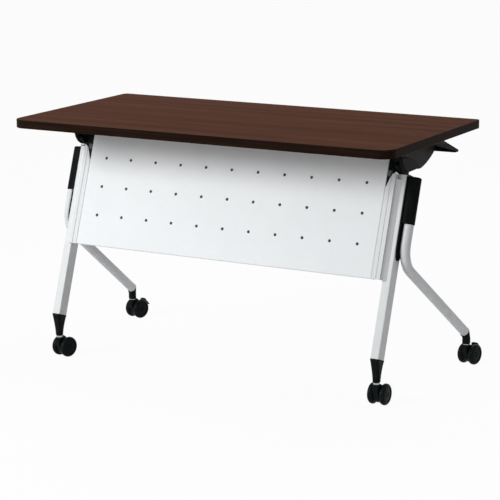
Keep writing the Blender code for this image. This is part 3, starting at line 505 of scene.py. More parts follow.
def makeStraightLeg(name, side):
    leg = straightLeg
    wall, foot, top = leg["wall"], leg["foot"], leg["top"]

    def tube(inset):
        return roundedRectangle(leg["width"] - 2 * inset, leg["depth"] - 2 * inset, leg["corner"] - inset,
                                (side * leg["x"], leg["back"]))

    form = stacked(tube, ((0, foot), (0, top), (wall, top), (wall, foot)), closed=True)
    finishPiece(f"straightLeg.{name}", form, leanFrame, "silverPaint", "frame", [f"leg_{name}"])


# Bent rear legs

bentLeg = {"radius": 0.014, "wall": 0.0018, "x": 0.5510, "back": 0.0293, "top": -0.060, "sides": 40,
           "bendHeight": 0.379, "bendRadius": 0.070, "bendSteps": 20, "endX": 0.5725, "endY": 0.2705,
           "endHeight": 0.1027}


def bentLegCorners(side):
    leg = bentLeg
    x, cornerRise = side * leg["x"], riseAt(leg["bendHeight"], leg["back"])
    return (leanSpot(x, leg["back"], leg["top"]), leanSpot(x, leg["back"], cornerRise),
            Vector((side * leg["endX"], leg["endY"], leg["endHeight"])))


def circleRound(centre, radius, normal, count=bentLeg["sides"]):
    across = Vector((1, 0, 0))
    first = (across - normal * across.dot(normal)).normalized()
    second = normal.cross(first)
    angles = [2 * pi * step / count for step in range(count)]
    return [centre + first * radius * cos(angle) + second * radius * sin(angle) for angle in angles]


def makeBentLeg(name, side):
    leg = bentLeg
    bendRadius, steps = leg["bendRadius"], leg["bendSteps"]
    top, corner, end = bentLegCorners(side)
    up, down = (top - corner).normalized(), (end - corner).normalized()
    half = up.angle(down) / 2
    centre = corner + (up + down).normalized() * bendRadius / sin(half)
    first = (corner + up * bendRadius / tan(half) - centre).normalized()
    last = (corner + down * bendRadius / tan(half) - centre).normalized()
    path = [(top, -up)]
    for step in range(steps + 1):
        share = step / steps
        path.append((centre + first.slerp(last, share) * bendRadius, (-up).slerp(down, share)))
    path.append((end, down))
    rings = [circleRound(spot, leg["radius"], normal) for spot, normal in path]
    rings += [circleRound(spot, leg["radius"] - leg["wall"], normal) for spot, normal in path[::-1]]
    finishPiece(f"bentLeg.{name}", skin(rings, closed=True), tableFrame, "silverPaint", "frame",
                [f"rear_leg_{name}"], crease=50)


# Grip sleeves

gripSleeve = {"base": 0.5373, "shoulder": 0.5447, "outer": 0.5667, "back": 0.0293, "half": 0.0195,
              "top": -0.052, "length": 0.130, "foot": 0.0010, "crown": 0.0042, "crownSteps": 6,
              "baseRound": 0.0022, "baseSteps": 5, "swellSteps": 32}


def sleeveOutline(side, inset):
    grip = gripSleeve
    half, soft, steps = grip["half"] - inset, grip["baseRound"], grip["baseSteps"]
    points = arc((grip["base"] + soft, half - soft), soft, pi / 2, pi, steps)
    points += arc((grip["base"] + soft, soft - half), soft, pi, 3 * pi / 2, steps)
    swell = grip["outer"] - inset - grip["shoulder"]
    points += [(grip["shoulder"] + swell * across, half * along)
               for across, along in arc((0, 0), 1, -pi / 2, pi / 2, grip["swellSteps"])]
    return [(side * across, grip["back"] + along) for across, along in points]


def makeSleeve(name, side):
    grip = gripSleeve
    foot = grip["top"] - grip["length"]
    levels = [(grip["foot"], foot), (0, foot + grip["foot"])]
    levels += [(grip["crown"] - across, grip["top"] - grip["crown"] + along)
               for across, along in arc((0, 0), grip["crown"], 0, pi / 2, grip["crownSteps"])]
    form = stacked(lambda inset: sleeveOutline(side, inset), levels)
    finishPiece(f"gripSleeve.{name}", form, leanFrame, "sleevePlastic", "frame", [f"grip_sleeve_{name}"])


# Sockets at the feet

frontSocket = {"lip": 0.001, "bead": 0.0035, "footRadius": 0.0108, "footY": -0.2046, "footHeight": 0.0675,
               "edge": 0.0012, "leastFlat": 0.0002, "stations": 16}
rearSocket = {"radius": 0.0118, "footX": 0.576, "footY": 0.2785, "footHeight": 0.0648, "straight": 0.020,
              "bendStart": 0.016, "lip": 0.0005, "edge": 0.0012, "stations": 14, "plug": 0.0120,
              "plugLength": 0.012}


def tiltedSection(centre, width, depth, radius, tilt):
    radius = min(radius, width / 2 - frontSocket["leastFlat"], depth / 2 - frontSocket["leastFlat"])
    return [(centre[0] + across, centre[1] + along * cos(tilt), centre[2] - along * sin(tilt))
            for across, along in roundedRectangle(width, depth, radius)]


def makeFrontSocket(name, side):
    socket, leg, lean = frontSocket, straightLeg, pivot["lean"]
    edge, radius = socket["edge"], socket["footRadius"]
    width, depth = leg["width"] + 2 * socket["lip"], leg["depth"] + 2 * socket["lip"]
    corner = leg["corner"] + socket["lip"]
    end = leanSpot(side * leg["x"], leg["back"], leg["foot"] - fit)
    down = Vector((0, -sin(lean), -cos(lean)))
    foot = Vector((side * leg["x"], socket["footY"], socket["footHeight"]))
    start = end + down * socket["bead"]
    bead = ((end, edge), (end + down * edge / 2, 0), (start, 0), (start + down * edge / 2, edge))
    rings = [tiltedSection(spot, width - inset, depth - inset, corner, lean) for spot, inset in bead]
    for station in range(1, socket["stations"] + 1):
        share = station / socket["stations"]
        ease = sin(share * pi / 2)
        rings.append(tiltedSection(start.lerp(foot + Vector((0, 0, edge)), share),
                                   width - edge + (2 * radius - width + edge) * ease,
                                   depth - edge + (2 * radius - depth + edge) * ease,
                                   corner * (1 - share) + radius * share, lean * (1 - share)))
    rings.append(tiltedSection(foot, 2 * radius - edge, 2 * radius - edge, radius - edge / 2, 0))
    finishPiece(f"frontSocket.{name}", skin(rings), tableFrame, "socketPlastic", "frame",
                [f"front_socket_{name}"])


def makeRearSocket(name, side):
    socket = rearSocket
    radius, lip, edge = socket["radius"], bentLeg["radius"] + socket["lip"], socket["edge"]
    _, corner, end = bentLegCorners(side)
    along, up = (corner - end).normalized(), Vector((0, 0, 1))
    foot = Vector((side * socket["footX"], socket["footY"], socket["footHeight"]))
    shoulder, bendStart = foot + up * socket["straight"], foot + up * socket["bendStart"]
    seat = end - along * fit
    rings = [circleRound(foot, radius - edge / 2, up), circleRound(foot + up * edge / 2, radius, up),
             circleRound(bendStart, radius, up)]
    for station in range(1, socket["stations"]):
        share = station / socket["stations"]
        ease = share * share * (3 - 2 * share)
        spot = shoulder.lerp(seat, share) + (bendStart - shoulder) * (1 - share) ** 3
        rings.append(circleRound(spot, radius + (lip - radius) * ease, up.slerp(along, ease)))
    rings += [circleRound(seat - along * edge / 2, lip, along), circleRound(seat, lip - edge / 2, along),
              circleRound(seat, socket["plug"], along),
              circleRound(seat + along * socket["plugLength"], socket["plug"], along)]
    finishPiece(f"rearSocket.{name}", skin(rings), tableFrame, "socketPlastic", "frame",
                [f"rear_socket_{name}"])


onBothSides(makeStraightLeg, makeBentLeg, makeSleeve, makeFrontSocket, makeRearSocket)
print("legs made")


# Screws, pan heads with a recess, on Z

# the profile is in shares of the radius and of the height
screwHead = {"sides": 24, "profile": ((0, 0), (1, 0), (1, 0.45), (0.86, 0.8), (0.55, 1), (0.18, 1),
                                      (0.12, 0.5), (0, 0.45))}


def screw(radius, base, crown, turn):
    profile = [(radius * out, base + (crown - base) * rise) for out, rise in screwHead["profile"]]
    return turned(profile, screwHead["sides"], turn)


# Hinge covers, drawn from the flip axis

hingeCover = {"inner": 0.5245, "shell": 0.5300, "radius": 0.0450, "top": 0.0347, "ahead": 0.037,
              "rim": 0.0026, "shellRadius": 0.0405, "shellArc": (radians(176), radians(270)),
              "shellFoot": (0.030, -0.0435), "stepY": 0.0715, "step": 0.002, "heelY": 0.088, "toeY": 0.1795,
              "toeZ": -0.0105, "bulge": 0.0045, "rearSlope": 0.003, "bulgeSteps": 16, "arcSteps": 26}
hingeCap = {"start": 0.5250, "face": 0.5345, "end": (0.0715, -0.0440), "pull": (0.0427, -0.0030),
            "front": (-0.0420, 0.0030), "curveSteps": 20, "arc": (radians(179), radians(270)), "arcSteps": 30,
            "rim": 0.0024, "frontRim": 0.0065, "swell": 6, "fade": 8, "rings": 6}
coverScrew = {"y": 0.137, "z": -0.009, "radius": 0.0042, "sink": 0.0012, "rise": 0.0006}


def insetOutline(points, depths):
    # each point moved inward by its own depth; the outline runs anticlockwise
    moved = []
    for index, (here, depth) in enumerate(zip(points, depths)):
        along = (Vector(points[(index + 1) % len(points)]) - Vector(points[index - 1])).normalized()
        moved.append((here[0] - along.y * depth, here[1] + along.x * depth))
    return moved


def makeHingeCover(name, side):
    cover = hingeCover
    heel = -cover["radius"] - cover["step"]
    shell = [(cover["toeY"] + cover["rearSlope"], cover["top"]), (-cover["ahead"], cover["top"]),
             *arc((0, 0), cover["shellRadius"], *cover["shellArc"], cover["arcSteps"]),
             cover["shellFoot"], (cover["stepY"], -cover["radius"]), (cover["stepY"] + cover["step"], heel)]
    for step in range(cover["bulgeSteps"] + 1):
        share = step / cover["bulgeSteps"]
        sag = 4 * cover["bulge"] * share * (1 - share)
        shell.append((cover["heelY"] + (cover["toeY"] - cover["heelY"]) * share + sag / 2,
                      heel + (cover["toeZ"] - heel) * share - sag))
    finishPiece(f"hingeCover.{name}",
                sidePrism(shell, side, cover["inner"], cover["shell"], cover["rim"], 4), flipFrame,
                "coverPlastic", "top", [f"hinge_cover_{name}"], crease=35)


def makeHingeCap(name, side):
    cap, steps = hingeCap, hingeCap["arcSteps"]
    pad = pulledCurve(cap["front"], cap["pull"], cap["end"], cap["curveSteps"])[::-1]
    depths = [cap["rim"]] * len(pad)
    pad += arc((0, 0), hingeCover["radius"], *cap["arc"], steps)
    for step in range(steps + 1):
        share = min(1, step / cap["swell"], (steps - step) / cap["fade"])
        depths.append(cap["rim"] + (cap["frontRim"] - cap["rim"]) * share)
    rings = []
    for ring in range(cap["rings"] + 1):
        turn = pi / 2 * ring / cap["rings"]
        x = side * (cap["start"] + (cap["face"] - cap["start"]) * sin(turn))
        moved = insetOutline(pad, [depth * (1 - cos(turn)) for depth in depths])
        rings.append([(x, *point) for point in moved])
    # the cap takes the darker copy of the cover's plastic, painted shade
    finishPiece(f"hingeCap.{name}", skin(rings), flipFrame, "capPlastic", "top", crease=35)


def makeCoverScrew(name, side):
    place, shell = coverScrew, hingeCover["shell"]
    at = Matrix.Translation((0, place["y"], place["z"])) @ handed(side) @ spinX
    head = screw(place["radius"], shell - place["sink"], shell + place["rise"], at)
    finishPiece(f"coverScrew.{name}", head, flipFrame, "blackPaint", "top")


# Shroud of the leg's head, below the swing of the bracket

headShroud = {"inner": 0.5086, "outer": 0.5205, "radius": 0.0435, "core": 0.020, "start": radians(207),
              "end": radians(322), "rim": 0.0016, "steps": 30, "coreSteps": 16}


def makeHeadShroud(name, side):
    shroud = headShroud
    outline = arc((0, 0), shroud["radius"], shroud["start"], shroud["end"], shroud["steps"])
    outline += arc((0, 0), shroud["core"], shroud["end"], shroud["start"], shroud["coreSteps"])
    finishPiece(f"headShroud.{name}",
                sidePrism(outline, side, shroud["inner"], shroud["outer"], shroud["rim"]), flipFrame,
                "socketPlastic", "frame", crease=35)


# Rails beside the panel, with the black wedge of painted shade and the hook in their slanted tops and the
# strip that covers the corner

# the slant is the line of the rail's top; past and through are how far its cutters reach
panelRail = {"inner": 0.4815, "outer": 0.5077, "face": -0.0088, "sheet": 0.0015, "bend": 0.0008,
             "bendSteps": 3, "foot": -0.343, "top": 0.006, "innerBack": 0.010, "outerBack": 0.020,
             "groove": 0.4955, "grooveWidth": 0.0022, "grooveDepth": 0.0012, "notch": (0.5022, 0.530),
             "notchFront": -0.0067, "flangeEnd": -0.0505,
             "slant": ((0.4790, -0.0950), (0.4845, -0.0860), (0.4905, -0.0675), (0.4970, -0.0540),
                       (0.5095, -0.0440)),
             "past": 0.030, "through": 0.060}
# the wedge's black is painted shade: it fills the notch at the rail's top, which lies in shade under the
# board
railShadeWedge = {"inner": 0.4818, "outer": 0.5078, "foot": -0.0900, "back": 0.0060, "front": 0.0071,
             "top": 0.0100, "lift": 0.0012, "outerLift": 0.0052}
railHook = {"outline": ((0.4826, -0.0600), (0.4900, -0.0600), (0.4952, -0.0440), (0.4826, -0.0440)),
            "back": 0.0069, "front": 0.0082, "soft": 0.0003}
coverStrip = {"inner": 0.5080, "outer": 0.5205, "front": -0.0040, "back": 0.0068, "top": -0.064,
              "soft": 0.0004}


def carved(form, *cutters):
    # cut closed forms out of a closed form
    holders = []
    for part in (form, *cutters):
        mesh = bpy.data.meshes.new("carving")
        bmesh.ops.recalc_face_normals(part, faces=part.faces)
        part.to_mesh(mesh)
        part.free()
        holders.append(putInScene("carving", mesh))
    for cutter in holders[1:]:
        step = holders[0].modifiers.new("carve", "BOOLEAN")
        step.operation = "DIFFERENCE"
        step.solver = "EXACT"
        step.object = cutter
    meshes = [holder.data for holder in holders]
    result = takeForm(holders[0])
    for cutter in holders[1:]:
        bpy.data.objects.remove(cutter)
    for mesh in meshes:
        bpy.data.meshes.remove(mesh)
    return result


def makePanelRail(name, side):
    rail = panelRail
    inner, outer, face, sheet, bend = rail["inner"], rail["outer"], rail["face"], rail["sheet"], rail["bend"]
    near, far = rail["groove"] - rail["grooveWidth"] / 2, rail["groove"] + rail["grooveWidth"] / 2
    floor, back, steps = face + rail["grooveDepth"], face + sheet, rail["bendSteps"]
    outline = [(inner, rail["innerBack"]), *arc((inner + bend, face + bend), bend, pi, 1.5 * pi, steps),
               (near, face), (near, floor), (far, floor), (far, face),
               *arc((outer - bend, face + bend), bend, 1.5 * pi, 2 * pi, steps),
               (outer, rail["outerBack"]), (outer - sheet, rail["outerBack"]), (outer - sheet, back),
               (inner + sheet, back), (inner + sheet, rail["innerBack"])]
    past, through = rail["past"], rail["through"]
    above = [*rail["slant"], (rail["slant"][-1][0], past), (rail["slant"][0][0], past)]
    flange = [(rail["notchFront"], rail["flangeEnd"]), (through, rail["flangeEnd"]), (through, past),
              (rail["notchFront"], past)]
    form = carved(prism(mirrored(outline, side), rail["foot"], rail["top"]),
                  prism(mirrored(above, side), -through, through, frontView),
                  sidePrism(flange, side, *rail["notch"]))
    finishPiece(f"panelRail.{name}", form, leanFrame, "silverPaint", "frame", [f"panel_rail_{name}"],
                crease=30)


def makeRailTop(name, side):
    wedge, hook = railShadeWedge, railHook
    inner, outer, top = wedge["inner"], wedge["outer"], wedge["top"]
    slope = [(x, rise + wedge["lift"]) for x, rise in panelRail["slant"][1:-1]]
    slope.append((outer, panelRail["slant"][-1][1] + wedge["outerLift"]))
    outline = [(inner, wedge["foot"]), *slope, (outer, top), (inner, top)]
    form = prism(mirrored(outline, side), -wedge["back"], wedge["front"], frontView)
    # black plastic here paints the shade in the rail's notch
    finishPiece(f"railShadeWedge.{name}", form, leanFrame, "socketPlastic", "frame")
    form = prism(mirrored(hook["outline"], side), hook["back"], hook["front"], frontView, hook["soft"], 2)
    finishPiece(f"railHook.{name}", form, leanFrame, "hookPaint", "frame")


def makeCoverStrip(name, side):
    strip = coverStrip
    inner, back = strip["inner"], strip["back"]
    slope = [(inner, strip["front"]), (strip["outer"], back), (inner, back)]
    form = prism(mirrored(slope, side), panelRail["foot"], strip["top"], softness=strip["soft"], softSteps=2)
    # the strip takes the panel's whiter paint, not the rails' silver: painted light for the corner, which
    # light bounced off the leg's face brightens
    finishPiece(f"coverStrip.{name}", form, leanFrame, "panelPaint", "frame", crease=30)


# Paddles of the release, drawn from the rod

paddle = {"armStart": 0.5135, "arm": 0.0065, "armSoft": 0.0010, "hub": 0.0094, "hubSteps": 20,
          "hubArc": (radians(70), radians(250)), "front": 0.076, "rootChord": 0.084, "tipChord": 0.023,
          "drop": 0.026, "rootThick": 0.018, "edge": 0.004, "tipX": 0.5995, "tipRise": 0.0045, "sweep": 0.020,
          "tipStart": 0.94, "tipPull": 0.55, "stations": 18, "soft": 0.0018}
releaseRod = {"back": 0.110, "rise": 0.011, "end": 0.5249, "radius": 0.005, "soft": 0.0008, "sides": 32}
rodFrame = flipFrame @ Matrix.Translation((0, releaseRod["back"], releaseRod["rise"]))


def makePaddle(name, side):
    pad = paddle
    front, edge, rise = pad["front"], pad["edge"], pad["tipRise"]
    sole, heel = -pad["drop"], pad["rootThick"] - pad["drop"]
    rear, armEnd = front + pad["tipChord"], pad["armStart"] + pad["arm"]
    outline = [*arc((0, 0), pad["hub"], *pad["hubArc"], pad["hubSteps"]), (front, sole + edge / 4),
               (rear, sole + edge), (rear, heel - edge / 4), (front, heel - edge / 8)]
    rings = []
    for station in range(pad["stations"] + 1):
        share = station / pad["stations"]

        def fade(root, tip):
            return root + (tip - root) * share

        x, chord = fade(pad["armStart"] + edge / 2, pad["tipX"]), fade(pad["rootChord"], pad["tipChord"])
        near, low, rearLow = front - pad["sweep"] * share, sole + rise * share, fade(heel - edge, sole + rise)
        quad = [(near, low), (near + chord, rearLow), (near + chord, rearLow + edge),
                (near, fade(heel, sole + rise + edge))]
        pull = 1 - max(0, (share - pad["tipStart"]) / (1 - pad["tipStart"])) ** 2 * pad["tipPull"]
        middle = (sum(y for y, _ in quad) / 4, sum(z for _, z in quad) / 4)
        quad = [(middle[0] + (y - middle[0]) * pull, middle[1] + (z - middle[1]) * pull) for y, z in quad]
        rings.append([(side * x, *point) for point in roundedQuad(quad, pad["soft"])])
    form = joined(sidePrism(outline, side, pad["armStart"], armEnd, pad["armSoft"]), skin(rings))
    finishPiece(f"releasePaddle.{name}", form, rodFrame, "sleevePlastic", "release",
                [f"release_paddle_{name}"], crease=42)


def makeRod():
    radius, soft, end = releaseRod["radius"], releaseRod["soft"], releaseRod["end"]
    profile = [(0, -end), (radius - soft, -end), (radius, soft - end), (radius, end - soft),
               (radius - soft, end), (0, end)]
    finishPiece("releaseBar", turned(profile, releaseRod["sides"], spinX), rodFrame, "zinc", "release",
                ["release_rod"])


pivotPin = {"radius": 0.006, "head": 0.010, "headThick": 0.0025, "inner": 0.5029, "rivet": 0.5245,
            "soft": 0.0006, "sides": 36}


def makePivotPin(name, side):
    pin = pivotPin
    radius, head, soft, inner, rivet = pin["radius"], pin["head"], pin["soft"], pin["inner"], pin["rivet"]
    start, end = inner - pin["headThick"], rivet + pin["headThick"]
    profile = [(0, start), (head - soft, start), (head, start + soft), (head, inner), (radius, inner),
               (radius, rivet), (head, rivet), (head, end - soft), (head - soft, end), (0, end)]
    form = turned([(radius, side * height) for radius, height in profile], pin["sides"], spinX)
    finishPiece(f"pivotPin.{name}", form, leanFrame, "zinc", "frame", [f"pivot_pin_{name}"])


onBothSides(makeHingeCover, makeHingeCap, makeCoverScrew, makePaddle, makePivotPin, makeHeadShroud,
            makePanelRail, makeRailTop, makeCoverStrip)
makeRod()
print("hinges and release made")


# Casters, drawn from the foot of the swivel axis

casterPlaces = {"front_left": (-0.5207, -0.2046, 0.0675, -12), "front_right": (0.5207, -0.2046, 0.0675, 1),
                "rear_left": (-0.576, 0.2785, 0.0648, -14), "rear_right": (0.576, 0.2785, 0.0648, -10)}
axleSpot = {"y": 0.019, "z": 0.030}
wheel = {"radius": 0.030, "half": 0.009, "track": 0.0175, "tread": 0.0086, "treadSteps": 9, "bore": 0.0033,
         "back": 0.01845, "recess": 0.0205, "recessDepth": 0.0022, "lip": 0.0006, "web": 0.01476,
         "webRise": 0.6, "dome": 0.0012, "hub": 0.009225, "well": 0.0074, "wellFoot": 0.0066, "sides": 64}


def wheelProfile():
    # radius and distance outward, from the bore round the tread
    part = wheel
    half, tread, lip, steps = part["half"], part["tread"], part["lip"], part["treadSteps"]
    shoulder, recess, inside = part["radius"] - tread, part["recess"], half - part["recessDepth"]
    raised = inside + part["dome"]
    return [(part["bore"], -half), (part["back"], -half),
            *arc((shoulder, tread - half), tread, -pi / 2, 0, steps),
            *arc((shoulder, half - tread), tread, 0, pi / 2, steps),
            (recess + lip, half), (recess, half - lip), (recess - lip, inside),
            (part["web"], inside + part["dome"] * part["webRise"]), (part["hub"], raised),
            (part["well"], raised), (part["wellFoot"], inside), (part["bore"], inside)]


def makeWheel(corner, label, hand, at):
    turn = Matrix.Translation((hand * wheel["track"], *axleSpot.values())) @ handed(hand) @ spinX
    form = turned(wheelProfile(), wheel["sides"], turn, closed=True)
    finishPiece(f"wheel.{corner}.{label}", form, at, "wheelNylon", f"{corner}_{label}_wheel",
                [f"{corner}_wheel_{label}"], crease=34)


hood = {"half": 0.0080, "radius": 0.024, "arc": (radians(176), radians(405)), "arcSteps": 44, "soft": 0.0016,
        "top": 0.0612, "flange": 0.0105, "flangeThick": 0.004, "flangeSoft": 0.0008, "crownDrop": 0.0006,
        "noseRadius": 0.004, "noseZ": 0.04008, "noseArc": (pi, 1.2 * pi), "noseSteps": 4, "sides": 40}
brakePedal = {"reach": 0.0365, "bearing": radians(39), "fall": radians(-50), "start": 0.0059, "length": 0.022,
              "width": 0.026, "thick": 0.003, "nose": 0.0012, "soft": 0.0006, "pin": 0.0015, "pinSides": 20,
              "earTop": 0.0018, "earRound": 0.0014, "earSoft": 0.0004, "ribs": (0.35, 0.57, 0.79),
              "ribRadius": 0.0009, "ribSink": 0.0004, "ribShare": 0.38, "ribSteps": 6}
pedalTab = {"radius": 0.0045, "half": 0.0075, "soft": 0.0008, "steps": 20}
pedalPin = (axleSpot["y"] + brakePedal["reach"] * cos(brakePedal["bearing"]),
            axleSpot["z"] + brakePedal["reach"] * sin(brakePedal["bearing"]))


def makeHood(corner, braked, at):
    part, centre = hood, tuple(axleSpot.values())
    flange, top, soft = part["flange"], part["top"], part["flangeSoft"]
    crown, nose = top - part["crownDrop"], part["noseRadius"]
    outline = [(flange, crown), (-flange, crown),
               *arc((nose - flange, part["noseZ"]), nose, *part["noseArc"], part["noseSteps"]),
               *arc(centre, part["radius"], *part["arc"], part["arcSteps"])]
    foot = top - part["flangeThick"]
    plate = [(0, foot), (flange, foot), (flange, top - soft), (flange - soft, top), (0, top)]
    blocks = [prism(outline, -part["half"], part["half"], sideView, part["soft"], 4),
              turned(plate, part["sides"])]
    if braked:
        tab, bearing = pedalTab, brakePedal["bearing"]
        across, along = tab["radius"] * sin(bearing), tab["radius"] * cos(bearing)
        outline = arc(pedalPin, tab["radius"], bearing - pi / 2, bearing + pi / 2, tab["steps"])
        outline += [(centre[0] - across, centre[1] + along), (centre[0] + across, centre[1] - along)]
        blocks.append(prism(outline, -tab["half"], tab["half"], sideView, tab["soft"], 2))
    finishPiece(f"casterHood.{corner}", joined(*blocks), at, "socketPlastic", f"{corner}_caster",
                [f"{corner}_hood"], crease=36)


stem = {"radius": 0.0055, "foot": 0.0445, "ring": 0.009, "soft": 0.0007, "inSocket": 0.024, "sides": 40}


def makeStem(corner, socketFoot, at):
    radius, ring, soft = stem["radius"], stem["ring"], stem["soft"]
    foot, top = stem["foot"], socketFoot + stem["inSocket"]
    ledge, step = hood["top"] + fit, socketFoot - fit
    profile = [(0, foot), (radius, foot), (radius, ledge), (ring - soft, ledge), (ring, ledge + soft),
               (ring, step - soft), (ring - soft, step), (radius, step), (radius, top), (0, top)]
    finishPiece(f"casterStem.{corner}", turned(profile, stem["sides"]), at, "zinc", f"{corner}_caster",
                [f"{corner}_stem"])


axle = {"radius": 0.003, "half": 0.0245, "sides": 24}
# the profile is in shares of the radius and of the rise
hubCap = {"start": 0.0241, "radius": 0.0062, "rise": 0.0014, "sides": 32,
          "profile": ((0, 0), (1, 0), (1, 0.4), (0.82, 0.8), (0.45, 1), (0, 1.02))}


def makeAxle(corner, at):
    turn = Matrix.Translation((0, *axleSpot.values())) @ spinX
    radius, half = axle["radius"], axle["half"]
    bar = turned([(0, -half), (radius, -half), (radius, half), (0, half)], axle["sides"], turn)
    finishPiece(f"axle.{corner}", bar, at, "zinc", f"{corner}_caster", [f"{corner}_axle"])
    caps = [turned([(hubCap["radius"] * out, hand * (hubCap["start"] + hubCap["rise"] * rise))
                    for out, rise in hubCap["profile"]], hubCap["sides"], turn) for hand in (-1, 1)]
    finishPiece(f"hubCaps.{corner}", joined(*caps), at, "socketPlastic", f"{corner}_caster")


def makePedal(corner, at):
    pedal = brakePedal
    start, length, thick, nose, pin = (pedal[key] for key in ("start", "length", "thick", "nose", "pin"))
    blade = [(start, -thick / 2), (length - nose, -thick / 2), (length, -thick / 6), (length, thick / 4),
             (length - nose, thick / 2), (start, thick / 2)]
    blocks = [prism(blade, -pedal["width"] / 2, pedal["width"] / 2, sideView, pedal["soft"], 2)]
    ribHalf = pedal["width"] * pedal["ribShare"]
    for share in pedal["ribs"]:
        middle = (start + (length - start) * share, thick / 2 - pedal["ribSink"])
        rib = arc(middle, pedal["ribRadius"], 0, pi, pedal["ribSteps"])
        blocks.append(prism(rib, -ribHalf, ribHalf, sideView))
    near, far, earTop = pedalTab["half"] + fit, pedalTab["half"] + fit + thick, pedal["earTop"]
    ear = roundedQuad([(-thick, -thick), (start + thick, -thick), (start + thick, earTop), (-thick, earTop)],
                      pedal["earRound"])
    blocks += [sidePrism(ear, hand, near, far, pedal["earSoft"], 2) for hand in (-1, 1)]
    blocks.append(turned([(0, -far), (pin, -far), (pin, far), (0, far)], pedal["pinSides"], spinX))
    hinge = Matrix.Translation((0, *pedalPin)) @ Matrix.Rotation(pedal["fall"], 4, "X")
    finishPiece(f"brakePedal.{corner}", joined(*blocks), at @ hinge, "socketPlastic", f"{corner}_brake",
                [f"{corner}_brake_pedal"])


for corner, (stemX, stemY, socketFoot, turnDegrees) in casterPlaces.items():
    at = tableFrame @ Matrix.Translation((stemX, stemY, 0)) @ Matrix.Rotation(radians(turnDegrees), 4, "Z")
    outward = -1 if corner.endswith("left") else 1
    makeWheel(corner, "inner", -outward, at)
    makeWheel(corner, "outer", outward, at)
    makeHood(corner, corner.startswith("rear"), at)
    makeStem(corner, socketFoot, at)
    makeAxle(corner, at)
    if corner.startswith("rear"):
        makePedal(corner, at)
print("casters made")


# Screws of the brackets, below the plates

bracketScrews = {"x": (0.479, 0.507), "y": (-0.046, 0.141), "plateFoot": 0.0317, "radius": 0.0042,
                 "sink": 0.0002, "rise": 0.0024}


def makeBracketScrews(name, side):
    screws = bracketScrews
    heads = []
    for x in screws["x"]:
        for y in screws["y"]:
            turn = Matrix.Translation((side * x, y, screws["plateFoot"])) @ Matrix.Rotation(pi, 4, "X")
            heads.append(screw(screws["radius"], -screws["sink"], screws["rise"], turn))
    finishPiece(f"bracketScrews.{name}", joined(*heads), flipFrame, "zinc", "top")


onBothSides(makeBracketScrews)

# Materials of the model's own pieces that stay

keptNodes = {"cross_beam": "silverPaint", "leg_head": "socketPlastic", "leg_spacer": "sleevePlastic",
             "top_bracket": "blackPaint", "pawl": "zinc"}

for nodeName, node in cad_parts.items():
    keptName = nodeName.replace("_left", "").replace("_right", "")
    if keptName in keptNodes:
        node.data.materials.clear()
        node.data.materials.append(materials[keptNodes[keptName]])
print("screws and kept pieces done")


# Camera, lamps, floor

cameraPlace = {"spot": (2.6704, -4.6794, 1.5511), "yaw": radians(29.5748), "pitch": radians(12.6867),
               "roll": radians(-0.4711), "focal": 1908.52, "pixels": 500, "sensor": 36.0, "clip": (0.1, 100)}


def makeCamera():
    look = cameraPlace
    yaw, pitch, roll = look["yaw"], look["pitch"], look["roll"]
    forward = Vector((-sin(yaw) * cos(pitch), cos(yaw) * cos(pitch), -sin(pitch)))
    level = Vector((cos(yaw), sin(yaw), 0))
    above = level.cross(forward)
    right = level * cos(roll) + above * sin(roll)
    up = above * cos(roll) - level * sin(roll)
    data = bpy.data.cameras.new("camera")
    data.sensor_width = look["sensor"]
    data.lens = look["focal"] * look["sensor"] / look["pixels"]
    data.clip_start, data.clip_end = look["clip"]
    camera = putInScene("camera", data)
    turn = Matrix((right, up, -forward)).transposed().to_4x4()
    camera.matrix_world = Matrix.Translation(Vector(look["spot"]) + tableMiddle) @ turn
    bpy.context.scene.camera = camera


lamps = {
    "frontWindow": {"place": (-2.5, -4.0, 2.5), "size": 2.0, "watts": 172},
    "sideFill": {"place": (4.4, -1.6, 1.8), "size": 2.2, "watts": 2},
    "overhead": {"place": (0.3, 1.0, 3.8), "size": 2.4, "watts": 40},
}
lampAim = Vector((0, 0, 0.35))


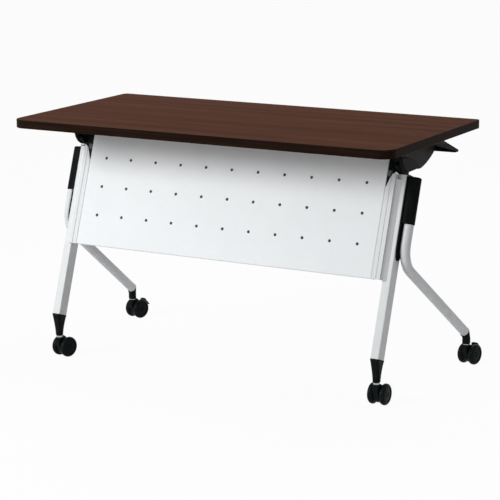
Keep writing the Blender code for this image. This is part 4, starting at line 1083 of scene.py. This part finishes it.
def makeLamps():
    for name, lamp in lamps.items():
        data = bpy.data.lights.new(name, "AREA")
        data.shape = "DISK"
        data.size = lamp["size"]
        data.energy = lamp["watts"]
        light = putInScene(name, data)
        light.location = lamp["place"]
        light.rotation_euler = (lampAim - light.location).to_track_quat("-Z", "Y").to_euler()


def seenMix(tree, first, second, share):
    # second where the camera looks at it straight, in a mirror or through glass
    path = addNode(tree, "LightPath", {})
    seen = path.outputs["Is Camera Ray"]
    for kind in ("Is Glossy Ray", "Is Transmission Ray"):
        seen = addNode(tree, "Math", {0: seen, 1: path.outputs[kind]}, operation="MAXIMUM").outputs[0]
    part = addNode(tree, "Math", {0: seen, 1: share}, operation="MULTIPLY").outputs[0]
    mix = addNode(tree, "MixShader", {"Fac": part, 1: first.outputs[0], 2: second.outputs[0]})
    return mix.outputs[0]


studio = {"world": 0.33, "floor": (0.80, 0.80, 0.80), "floorSize": 60.0, "floorWhite": 0.95,
          "floorGap": 0.0002}


def makeStudio():
    world = bpy.data.worlds.new("studio")
    bpy.context.scene.world = world
    world.use_nodes = True
    tree = world.node_tree
    dome = setSockets(tree, tree.nodes["Background"], {"Color": (1, 1, 1, 1), "Strength": studio["world"]})
    white = addNode(tree, "Background", {"Color": (1, 1, 1, 1), "Strength": 1.0})
    setSockets(tree, tree.nodes["World Output"], {"Surface": seenMix(tree, dome, white, 1.0)})
    material, tree, shader = startMaterial("paleFloor")
    tree.nodes.remove(shader)
    matt = addNode(tree, "BsdfDiffuse", {"Color": (*studio["floor"], 1)})
    glow = addNode(tree, "Emission", {"Strength": 1.0})
    surface = seenMix(tree, matt, glow, studio["floorWhite"])
    setSockets(tree, tree.nodes["Material Output"], {"Surface": surface})
    form = bmesh.new()
    bmesh.ops.create_grid(form, x_segments=1, y_segments=1, size=studio["floorSize"] / 2)
    mesh = bpy.data.meshes.new("floor")
    form.to_mesh(mesh)
    form.free()
    mesh.materials.append(material)
    floor = putInScene("floor", mesh)
    floor.location.z = modelLow.z - studio["floorGap"]


makeCamera()
makeLamps()
makeStudio()
bpy.context.scene.view_settings.view_transform = "Standard"
print("camera, lamps and floor made")
